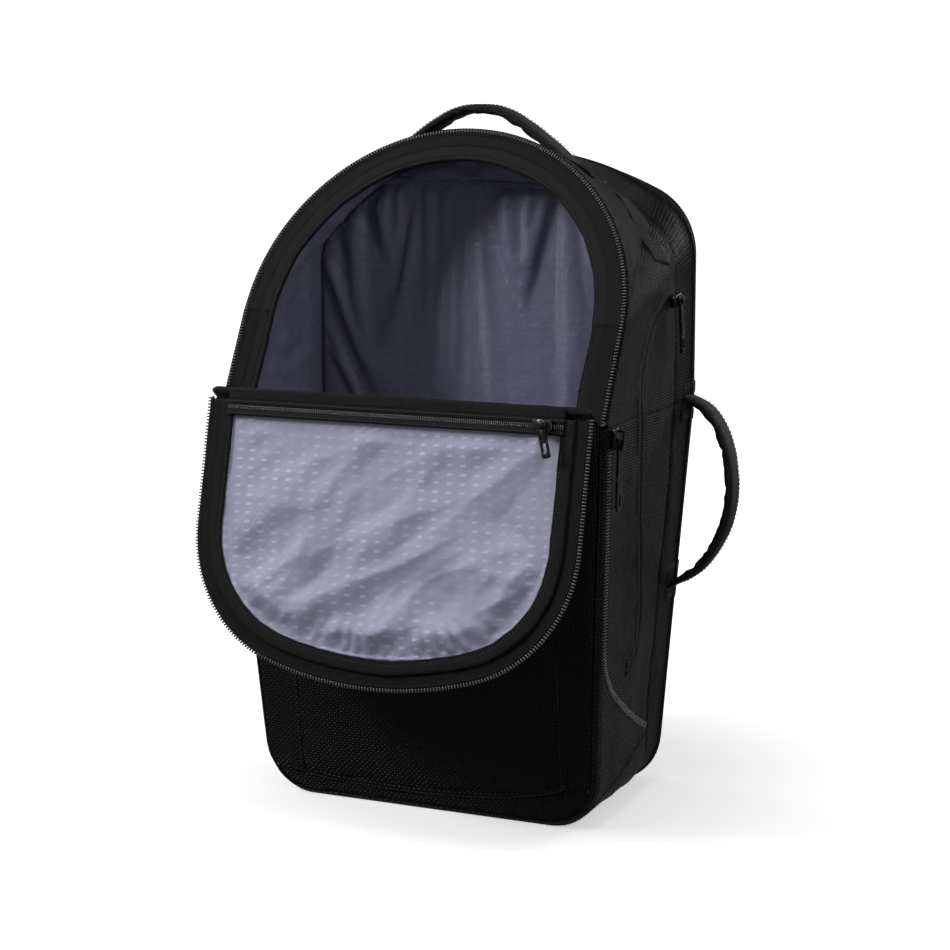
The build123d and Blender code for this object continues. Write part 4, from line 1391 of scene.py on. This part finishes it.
# %% Pocket zip
pocket_middle = flap_start + 3.0 + 13.0 / 2
pocket_level = 5.0
pocket_line = path_of([flap_face.at(x, pocket_middle, pocket_level) for x in range(-148, 149, 4)],
                      [flap_face.outward] * 75)
pocket_profile = [(-6.5, -4.2), (-6.5, 0.6), (-5.9, 1.0), (-2.2, 1.0), (-1.9, 0.5)]
pocket_profile += [(-side, out) for side, out in reversed(pocket_profile)]
pocket_tape = strip("pocket_zip_cloth", pocket_line, pocket_profile, 0.15, 3.0)
finish_piece(pocket_tape, "flap", binding_cloth, "pocket_zip_tape")
facing_line = path_of([flap_face.at(x, 2.4, 2.2) for x in range(-148, 149, 4)], [flap_face.outward] * 75)
facing = strip("fold_facing", facing_line, band_profile(9.5, 3.0), 0.3, 7.0)
finish_piece(facing, "flap", binding_cloth)
pocket_teeth = spaced(pocket_line, 1.7)
for row, (side, way) in enumerate(((-0.75, 1), (0.75, -1))):
    coil = copies(f"pocket_zip_coil_{row + 1}", pocket_teeth, fine_tooth, side, 0.75, way * 0.25)
    finish_piece(coil, "flap", coil_plastic)
for row, side in enumerate((-4.9, 4.9)):
    add_stitches(f"pocket_zip_stitches_{row + 1}", pocket_line, "flap", side, 1.05, 3.0)
print("pocket zip teeth", 2 * len(pocket_teeth))

# %% [markdown]
# ## Trims on the walls
#
# Closed zips, side zips, seams and straps all lie on the bowed wall. Their routes are drawn on the side
# view, and each station is dropped straight onto the finished cloth by casting a ray at it, so they
# follow every bow and crease of the shell.

# %% Finding the wall
def wall_tree():
    shape = bmesh.new()
    for name in ("top_gusset_cloth", "side_cloth_right", "side_cloth_left", "boot_cloth",
                 "rear_gusset_cloth"):
        shape.from_mesh(bpy.data.objects[name].data)
    tree = BVHTree.FromBMesh(shape)
    shape.free()
    return tree


walls = wall_tree()


def on_wall(origin, towards):
    """The first spot of the cloth that a ray meets, and the cloth's outward direction there."""
    place, normal, index, far = walls.ray_cast(Vector(origin) * mm, Vector(towards))
    if place is None:
        return None, None
    normal = normal if normal.dot(Vector(towards)) < 0 else -normal
    return place / mm, normal


def wall_path(sign, line, soften=3):
    """Stations on a side wall above a line of (y, z) spots."""
    places, outs = [], []
    for y, z in line:
        place, out = on_wall((sign * 400, y, z), (-sign, 0, 0))
        if place is not None:
            places.append(place)
            outs.append(out)
    for _ in range(soften):
        outs = [(outs[max(0, i - 1)] + outs[i] * 2 + outs[min(len(outs) - 1, i + 1)]).normalized()
                for i in range(len(outs))]
    return path_of(places, outs)


def bezier(a, b, c, d, count):
    return [(1 - t) ** 3 * Vector(a) + 3 * t * (1 - t) ** 2 * Vector(b) + 3 * t * t * (1 - t) * Vector(c)
            + t ** 3 * Vector(d) for t in (k / count for k in range(1, count + 1))]


def front_edge(height):
    return front_y_low + (front_y_high - front_y_low) * height / fold_height


# %% Closed main zip below the sliders
chain_turn = Vector((front_edge(150.0) + 9.0, 150.0))
chain_top = Vector((front_edge(fold_height) + 9.0, fold_height - 1.0))
chain_line = [chain_top.lerp(chain_turn, k / 44) for k in range(45)]
chain_line += bezier(chain_turn, (chain_turn.x + 3, 118), (47 - 74, 60 + 0.42 * 74), (47, 60), 36)
for side, sign in right_left:
    path = wall_path(sign, chain_line)
    bed = strip("lower_chain_cloth_" + side, path, band_profile(11.5, 1.0), 0.2, 3.0)
    finish_piece(bed, "bag", zip_cloth, "lower_chain_" + side)
    stations = spaced(path, coil_pitch)
    for row, shift in (("front", -1.25), ("rear", 1.25)):
        coil = copies("lower_chain_coil_" + row + "_" + side, stations, coil_tooth, shift, 1.4, 0.25)
        finish_piece(coil, "bag", coil_plastic)
    for row, shift in (("front", -5.0), ("rear", 5.0)):
        add_stitches("lower_chain_stitches_" + row + "_" + side, path, "bag", shift, 1.1)

# %% Side pocket zips
side_line = [Vector((49 + 78 * cos(radians(a)), 345 + 78 * sin(radians(a)))) for a in range(94, 180, 3)]
side_line += smooth_line([(-29, 345), (-24, 300), (-11, 240), (0, 185), (2, 150)], 5)
side_line += [Vector((2 - 25 * (1 - cos(radians(a))), 150 - 25.5 * sin(radians(a)))) for a in range(8, 91, 8)]
side_profile = [(-7.5, 0), (-7.5, 0.9), (-6.9, 1.6), (-4.5, 1.9), (-0.7, 1.9), (-0.35, 0.9)]
side_profile += [(-side, out) for side, out in reversed(side_profile)]
for side, sign in right_left:
    path = wall_path(sign, side_line)
    tape = strip("side_zip_cloth_" + side, path, side_profile, 0.2, 5.0)
    finish_piece(tape, "bag", zip_cloth, "side_zip_tape_" + side)
    for row, shift in (("front", -5.9), ("rear", 5.9)):
        add_stitches("side_zip_stitches_" + row + "_" + side, path, "bag", shift, 1.75)
    fold_path = wall_path(sign, [(y + 9.5 * 0.7, z) for y, z in side_line[24:]])
    pocket_fold = strip("side_pocket_fold_" + side, fold_path, soft_profile(4.0, 3.0, 10), 0.4, 9.0)
    finish_piece(pocket_fold, "bag", ballistic)
print("side zips", len(side_line), "stations")

# %% Seams of the walls
def seam_line(points):
    return smooth_line(points, 5)


seams = {
    "gusset_seam": [(90, 508), (72, 492), (58, 468), (61, 445), (66, 419), (79, 377), (86, 334),
                    (88, 290), (84, 200), (76, 120), (66, 87), (60, 66)],
    "pocket_seam": [(-66, 392), (-31.5, 427), (9, 444), (44, 452)],
    "rear_patch_seam": [(56, 124), (66, 87), (79, 44)],
    "pocket_front_seam": [(-46, 333), (-40, 270), (-30, 200), (-24, 150)],
}
wall_fold = [(-3.4, 0), (-3.2, 0.7), (-2.2, 1.0), (2.0, 1.1), (2.6, 1.5), (3.3, 1.5), (3.8, 0.8), (3.8, 0)]
for side, sign in right_left:
    for name, points in seams.items():
        path = wall_path(sign, seam_line(points))
        fold = strip(name + "_" + side, path, wall_fold, 0.25, 7.0)
        finish_piece(fold, "bag", ballistic)
        add_stitches(name + "_stitches_" + side, path, "bag", -0.8, 1.1)
boot_line = [(y, boot_front + (y - front_y_low) * boot_climb) for y in range(-62, 50, 5)]
for side, sign in right_left:
    path = wall_path(sign, [Vector(p) for p in boot_line])
    piping = strip("boot_piping_" + side, path, soft_profile(3.4, 3.4, 10, 2.0, 0.6))
    finish_piece(piping, "bag", cord_cloth)
    add_stitches("boot_stitches_" + side, path, "bag", 3.6, 0.25)

# %% Piping along the rear edge
def hoop_path(w, lift, step=5.0):
    columns = stops(0, 10, step)
    places = [skin(s, w, lift) for s in columns]
    outs = [hull_normal(s, w) for s in columns]
    places.append(places[0])
    outs.append(outs[0])
    return path_of(places, outs)


piping = strip("rear_piping", hoop_path(0.955, 0.6), soft_profile(4.2, 4.2, 10, 2.0, 0.4))
finish_piece(piping, "bag", cord_cloth)
print("seams and piping done")

# %% Seams of the front panel
def front_path(points):
    places = []
    for x, y in smooth_line(points, 5):
        spot = Vector((x, y)) - panel_fill.centre
        rim_spot = panel_fill.rim(spot.normalized())
        from_rim = (rim_spot - panel_fill.centre).length - spot.length
        places.append(panel_face.at(x, y, front_lift(x, y, from_rim)))
    return path_of(places, [panel_face.outward] * len(places))


front_seams = {
    "front_seam_left": [(-115, 300), (-115, 200), (-115, 100), (-115, 22)],
    "front_seam_right": [(125, 300), (125, 200), (125, 100), (125, 34)],
    "front_low_seam": [(-128, 26), (-100, 20), (-50, 17), (0, 17), (60, 21), (100, 28), (128, 37)],
}
front_fold = [(-3.0, -0.6), (-2.9, 0.6), (-2.0, 0.9), (2.0, 1.0), (2.8, 0.6), (3.0, -0.6)]
for name, points in front_seams.items():
    path = front_path(points)
    fold = strip(name, path, front_fold, 0.25, 6.0)
    finish_piece(fold, "bag", ballistic)
    add_stitches(name + "_stitches", path, "bag", 1.3, 0.95)
hem_places = [panel_face.at(x, panel_run - 6.5, 3.5) for x in range(-164, 165, 8)]
hem_path = path_of(hem_places, [panel_face.outward] * len(hem_places))
hem_profile = [(-7, -0.5), (-7, 3.2), (-5, 4.6), (3, 5.0), (6.6, 4.6), (7.4, 3.0), (7.4, -0.5)]
hem = strip("front_hem_band", hem_path, hem_profile, 0.3, 8.0)
finish_piece(hem, "bag", binding_cloth, "front_hem")

# %% [markdown]
# ## Handles
#
# Both grab handles are padded bands. The outer face is smooth, and the inner face is gathered, because
# cloth sewn flat has to bunch on the inside of a bend. Their ends are sewn to patches on the shell.

# %% Handle maker
def handle_profile(width, thick):
    return soft_profile(width, thick, 26, 3.2)


def padded_handle(name, path, width, thick, body, stands_for, seed):
    count = len(path) - 1

    def change(i, side, out):
        end = ease(i / 7) * ease((count - i) / 7)
        inner = ease((-out / thick + 0.1) * 3)
        bunch = abs(ripple((i * 4.0, side * 0.3, 0), 11, seed)) * 2.6 * inner * end
        side += ripple((i * 4.0, 0, 0), 10, seed + 5) * 0.5 * end
        edge = 1.0 if abs(side) < width * 0.42 else 0.94
        return side * (0.9 + 0.1 * end), out * (0.55 + 0.45 * end) * edge + bunch

    piece = strip(name, path, handle_profile(width, thick), 0.25, seed, change)
    finish_piece(piece, body, handle_cloth, stands_for)
    for row, side in (("a", -width / 2 + 3.4), ("b", width / 2 - 3.4)):
        add_stitches(name + "_stitches_" + row, path[3:-3], body, side, thick / 2 - 0.15,
                     3.6)
    return piece


def arc_path(places, centre_out):
    outs = []
    for i, place in enumerate(places):
        way = places[min(len(places) - 1, i + 1)] - places[max(0, i - 1)]
        out = centre_out(place)
        outs.append(out - way.normalized() * out.dot(way.normalized()))
    return path_of(places, outs)


handle_thick = 8.4
top_line = smooth_line([(-86, 36, 528), (-66, 36, 543.5), (-38, 36, 563), (-14, 36, 573.5), (14, 36, 573.5),
                        (38, 36, 563), (66, 36, 543.5), (86, 36, 528)], 4)
top_path = arc_path(top_line, lambda p: Vector((p.x * 0.4, 0, 60)))
padded_handle("top_handle_band", top_path, 26.0, handle_thick, "top_handle", "top_handle", 3.0)
grip_line = smooth_line([(166, 80, 339), (188, 80, 327), (203, 80, 303), (209.5, 80, 268), (205, 80, 232),
                         (187, 80, 199), (163, 80, 180), (156, 80, 176)], 4)
grip_path = arc_path(grip_line, lambda p: Vector((60, 0, (p.z - 262) * 0.5)))
padded_handle("side_handle_band", grip_path, 24.0, handle_thick, "side_handle", "side_handle", 7.0)

# %% Handle patches and shoulder tabs
def cross_stitch(name, path, half_width, out):
    """A sewn box with a cross in it."""
    first, last = path[1], path[-2]
    corners = [end.at(side * half_width, out)
               for end, side in ((first, -1), (first, 1), (last, 1), (last, -1))]
    order = [0, 1, 2, 3, 0, 2, 3, 1]
    stations = []
    for a, b in zip(order, order[1:]):
        gap = corners[b] - corners[a]
        count = max(2, round(gap.length / 3.0))
        places = [corners[a].lerp(corners[b], (k + 0.5) / count) for k in range(count)]
        stations += [Station(place, gap, first.out) for place in places]
    made = copies(name, stations, stitch)
    return finish_piece(made, "bag", thread_finish)


patch_pieces = []
for end, z_from, z_to in (("high", 318, 352), ("low", 164, 198)):
    path = wall_path(1, [Vector((80, z)) for z in range(z_from, z_to + 1, 4)], 6)
    patch_pieces.append(strip("side_handle_patch_" + end, path, band_profile(27.0, 2.0), 0.2, 4.0))
    cross_stitch("side_handle_box_" + end, path, 9.5, 2.0)
for side, sign in right_left:
    places, outs = [], []
    for k in range(11):
        place, out = on_wall((sign * (62 + 4 * k), 36, 700), (0, 0, -1))
        places.append(place)
        outs.append(out)
    path = path_of(places, outs)
    patch_pieces.append(strip("top_handle_patch_" + side, path, band_profile(31.0, 2.0), 0.2, 6.0))
    cross_stitch("top_handle_box_" + side, path, 11.0, 2.0)
for piece in patch_pieces:
    finish_piece(piece, "bag", webbing_cloth)
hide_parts("side_handle_anchors")
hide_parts("top_handle_anchors")
for side, sign in right_left:
    path = wall_path(sign, smooth_line([(51, 503), (40, 477), (29, 451)], 4), 6)
    tab = strip("wing_strap_cloth_" + side, path, band_profile(18.0, 2.0), 0.2, 8.0)
    finish_piece(tab, "bag", webbing_cloth, "wing_strap_" + side)
    cross_stitch("wing_strap_box_" + side, path[-7:], 6.0, 2.0)
print("handles and patches done")

# %% [markdown]
# ## Back pads and yoke
#
# The pads are foam under open mesh, sewn round their edges, with channels pressed across them for air.
# Each is a filled outline whose height follows a rounded edge, dips in the channels and swells a
# little between them.

# %% Pads
def rounded_box(half_x, half_y, radius):
    made = []
    for cx, cy, start in ((half_x - radius, half_y - radius, 0), (radius - half_x, half_y - radius, 90),
                          (radius - half_x, radius - half_y, 180), (half_x - radius, radius - half_y, 270)):
        angles = [radians(start + a) for a in range(0, 91, 9)]
        made += [(cx + radius * cos(angle), cy + radius * sin(angle)) for angle in angles]
    return made


pad_cell = 3.2
pad_base = Face((0, rear_y + back_thick - 0.3, 0), (-1, 0, 0), (0, 1, 0))


def make_pad(name, x, low, high, width, node, channels):
    middle = (low + high) / 2
    half_y = (high - low) / 2
    fill = Fill(rounded_box(width / 2, half_y, 16.0), (0, 0), (width / 2, half_y))

    def lift(px, py, from_rim):
        edge = 10.0
        dome = 12.3 * (1 - (1 - min(1.0, from_rim / edge)) ** 2) ** 0.5
        dip = sum(near_line(py, c - middle, 9) for c in channels) * 3.4
        swell = 0.9 * ease(from_rim / 24) - 1.0
        return max(0.0, dome + (swell - dip + 0.3 * ripple((px, py, x), 22, 3.0)) * ease(from_rim / 8))

    face = Face((x, pad_base.origin.y, middle), (-1, 0, 0), (0, 1, 0))
    columns, rows = (max(16, round(side / pad_cell)) for side in (width, 2 * half_y))
    shape = filled_panel(fill, face, columns, rows, lift)
    bmesh.ops.holes_fill(shape, edges=[e for e in shape.edges if e.is_boundary], sides=0)
    bmesh.ops.recalc_face_normals(shape, faces=shape.faces)
    pad = add_mesh(name, shape)
    finish_piece(pad, "bag", back_mesh, node)
    rim_line = [Vector(p) for p in rounded_box(width / 2 - 1.0, half_y - 1.0, 15.0)]
    rim_line.append(rim_line[0])
    path = path_of([face.at(p.x, p.y, 1.6) for p in rim_line], [face.outward] * len(rim_line))
    edge = strip(name + "_binding", path, soft_profile(4.4, 3.6, 10, 2.0))
    finish_piece(edge, "bag", binding_cloth)
    return pad


for side, sign in right_left:
    make_pad("back_pad_mesh_" + side, sign * 64.0, 150.0, 454.0, 88.0, "back_pad_" + side,
             (210, 270, 330, 390))
make_pad("lumbar_pad_mesh", 0.0, 52.0, 138.0, 184.0, "lumbar_pad", (95,))
make_pad("strap_yoke_pad", 0.0, 478.0, 506.0, 224.0, "strap_yoke", ())
print("pads done")

# %% [markdown]
# ## Shoulder straps
#
# Each strap is a curved band of foam with mesh towards the body and nylon outside, bound along both
# edges; here the mesh cloth covers it all round. A web strip runs down its middle, and the adjuster,
# webbing tail and chest strap hang from it.

# %% Straps
strap_arc_points = (Vector((117, 478)), Vector((168, 344)), Vector((126, 214)))


def circle_through(a, b, c):
    ax, ay, bx, by, cx, cy = a.x, a.y, b.x, b.y, c.x, c.y
    d = 2 * (ax * (by - cy) + bx * (cy - ay) + cx * (ay - by))
    aa, bb, cc = ax * ax + ay * ay, bx * bx + by * by, cx * cx + cy * cy
    ux = (aa * (by - cy) + bb * (cy - ay) + cc * (ay - by)) / d
    uy = (aa * (cx - bx) + bb * (ax - cx) + cc * (bx - ax)) / d
    return Vector((ux, uy)), (Vector((ux, uy)) - a).length


bow_centre, bow_radius = circle_through(*strap_arc_points)


def strap_spot(sign, z):
    """Middle of the strap at a height, on its bow."""
    t = (478 - z) / (478 - 214)
    x = 62 + (92 - 62) * t + 16 * sin(pi * t)
    y = bow_centre.x + sqrt(bow_radius ** 2 - (z - bow_centre.y) ** 2)
    return Vector((sign * x, y, z))


def strap_path(sign, high, low, step=5):
    count = round((high - low) / step)
    heights = [high - (high - low) * k / count for k in range(count + 1)]
    places = [strap_spot(sign, z) for z in heights]
    outs = [Vector((0, p.y - bow_centre.x, p.z - bow_centre.y)) for p in places]
    return path_of(places, outs)


strap_edge = [(-5.2, -3.6), (-5.6, -1), (-5.2, 0.9), (-3.6, 1.6)]
strap_edge += [(-side, out) for side, out in reversed(strap_edge)]
web_lift = 5.4
for side, sign in right_left:
    body = "strap_" + side
    path = strap_path(sign, 477, 215)
    strap = strip("strap_pad_" + side, path, soft_profile(62.0, 11.5, 36, 4.6), 0.4, 5.0)
    finish_piece(strap, body, back_mesh, "shoulder_strap_" + side)
    for row, shift in (("inner", -30.4), ("outer", 30.4)):
        edge_path = path_of([s.at(shift, 0) for s in path], [s.side * (1 if shift > 0 else -1) for s in path])
        edge = strip("strap_binding_" + row + "_" + side, edge_path, strap_edge, 0.2, 6.0)
        finish_piece(edge, body, binding_cloth)
    web_path = strap_path(sign, 474, 222)
    raised = [Station(s.at(0, web_lift), s.way, s.out) for s in web_path]
    web = strip("strap_web_" + side, raised, band_profile(24.0, 1.6), 0.2, 9.0)
    finish_piece(web, body, webbing_cloth)
    add_stitches("strap_web_stitches_a_" + side, web_path, body, -10.0, 7.0)
    add_stitches("strap_web_stitches_b_" + side, web_path, body, 10.0, 7.0)
    top = Vector((sign * 92, 126, 214 - 26 - 3.6))
    end = Vector((sign * 118, 106 + 3.0 + 0.35 + 1.0, 62 - 14 + 2.0))
    sag = [top.lerp(end, k / 24) + Vector((0, 2.2 * sin(pi * k / 24), 0)) for k in range(25)]
    tail_path = path_of(sag, [Vector((0, 1, 0.1))] * 25)
    tail = strip("strap_tail_" + side, tail_path, band_profile(25.0, 1.9), 0.15, 2.0)
    finish_piece(tail, body, webbing_cloth, "strap_webbing_" + side)
    hook = strip("strap_tail_fold_" + side, path_of(sag[18:], [Vector((0, 1, 0.1))] * 7),
                 [(s, o + 2.0) for s, o in band_profile(27.0, 1.8)])
    finish_piece(hook, body, webbing_cloth)
print("straps", round(bow_radius, 1), "mm bow")

# %% [markdown]
# ## Metal and plastic parts
#
# These keep the design's shapes. The design's edges are knife sharp, which never catches light, so
# each part is copied, its loose triangles are joined and a small bevel rounds the edges.

# %% Rounded copies of hard parts
def rounded_copy(node, body, material, radius, segments=2):
    shape = bmesh.new()
    shape.from_mesh(nodes[node].data)
    bmesh.ops.remove_doubles(shape, verts=shape.verts, dist=1e-5)
    bmesh.ops.dissolve_limit(shape, angle_limit=radians(2), verts=shape.verts, edges=shape.edges)
    piece = add_mesh(node + "_part", shape)
    bevel = piece.modifiers.new("edges", "BEVEL")
    bevel.width = radius * mm
    bevel.segments = segments
    bevel.limit_method = "ANGLE"
    bevel.angle_limit = radians(28)
    bevel.harden_normals = True
    bevel.use_clamp_overlap = True
    return finish_piece(piece, body, material, node)


for side, sign in right_left:
    for kind in ("main_slider_", "main_pull_", "side_slider_", "side_pull_"):
        rounded_copy(kind + side, kind + side, zip_metal, 0.35)
    rounded_copy("strap_adjuster_" + side, "strap_" + side, buckle_plastic, 0.9)
    rounded_copy("sternum_rail_" + side, "strap_" + side, buckle_plastic, 0.5)
    rounded_copy("sternum_strap_" + side, "sternum_" + side, webbing_cloth, 0.4)
    rounded_copy("strap_anchor_" + side, "bag", buckle_plastic, 0.6)
rounded_copy("pocket_slider", "pocket_slider", zip_metal, 0.35)
rounded_copy("pocket_pull", "pocket_pull", zip_metal, 0.35)
rounded_copy("sternum_clip", "sternum_right", buckle_plastic, 0.7)
rounded_copy("sternum_buckle", "sternum_left", buckle_plastic, 0.9)

# %% Parts that keep the design's mesh
for name, material in (("frame_sheet", stiff_sheet), ("base_stiffener", stiff_sheet)):
    nodes[name].data.materials.clear()
    nodes[name].data.materials.append(material)
print("hard parts done")
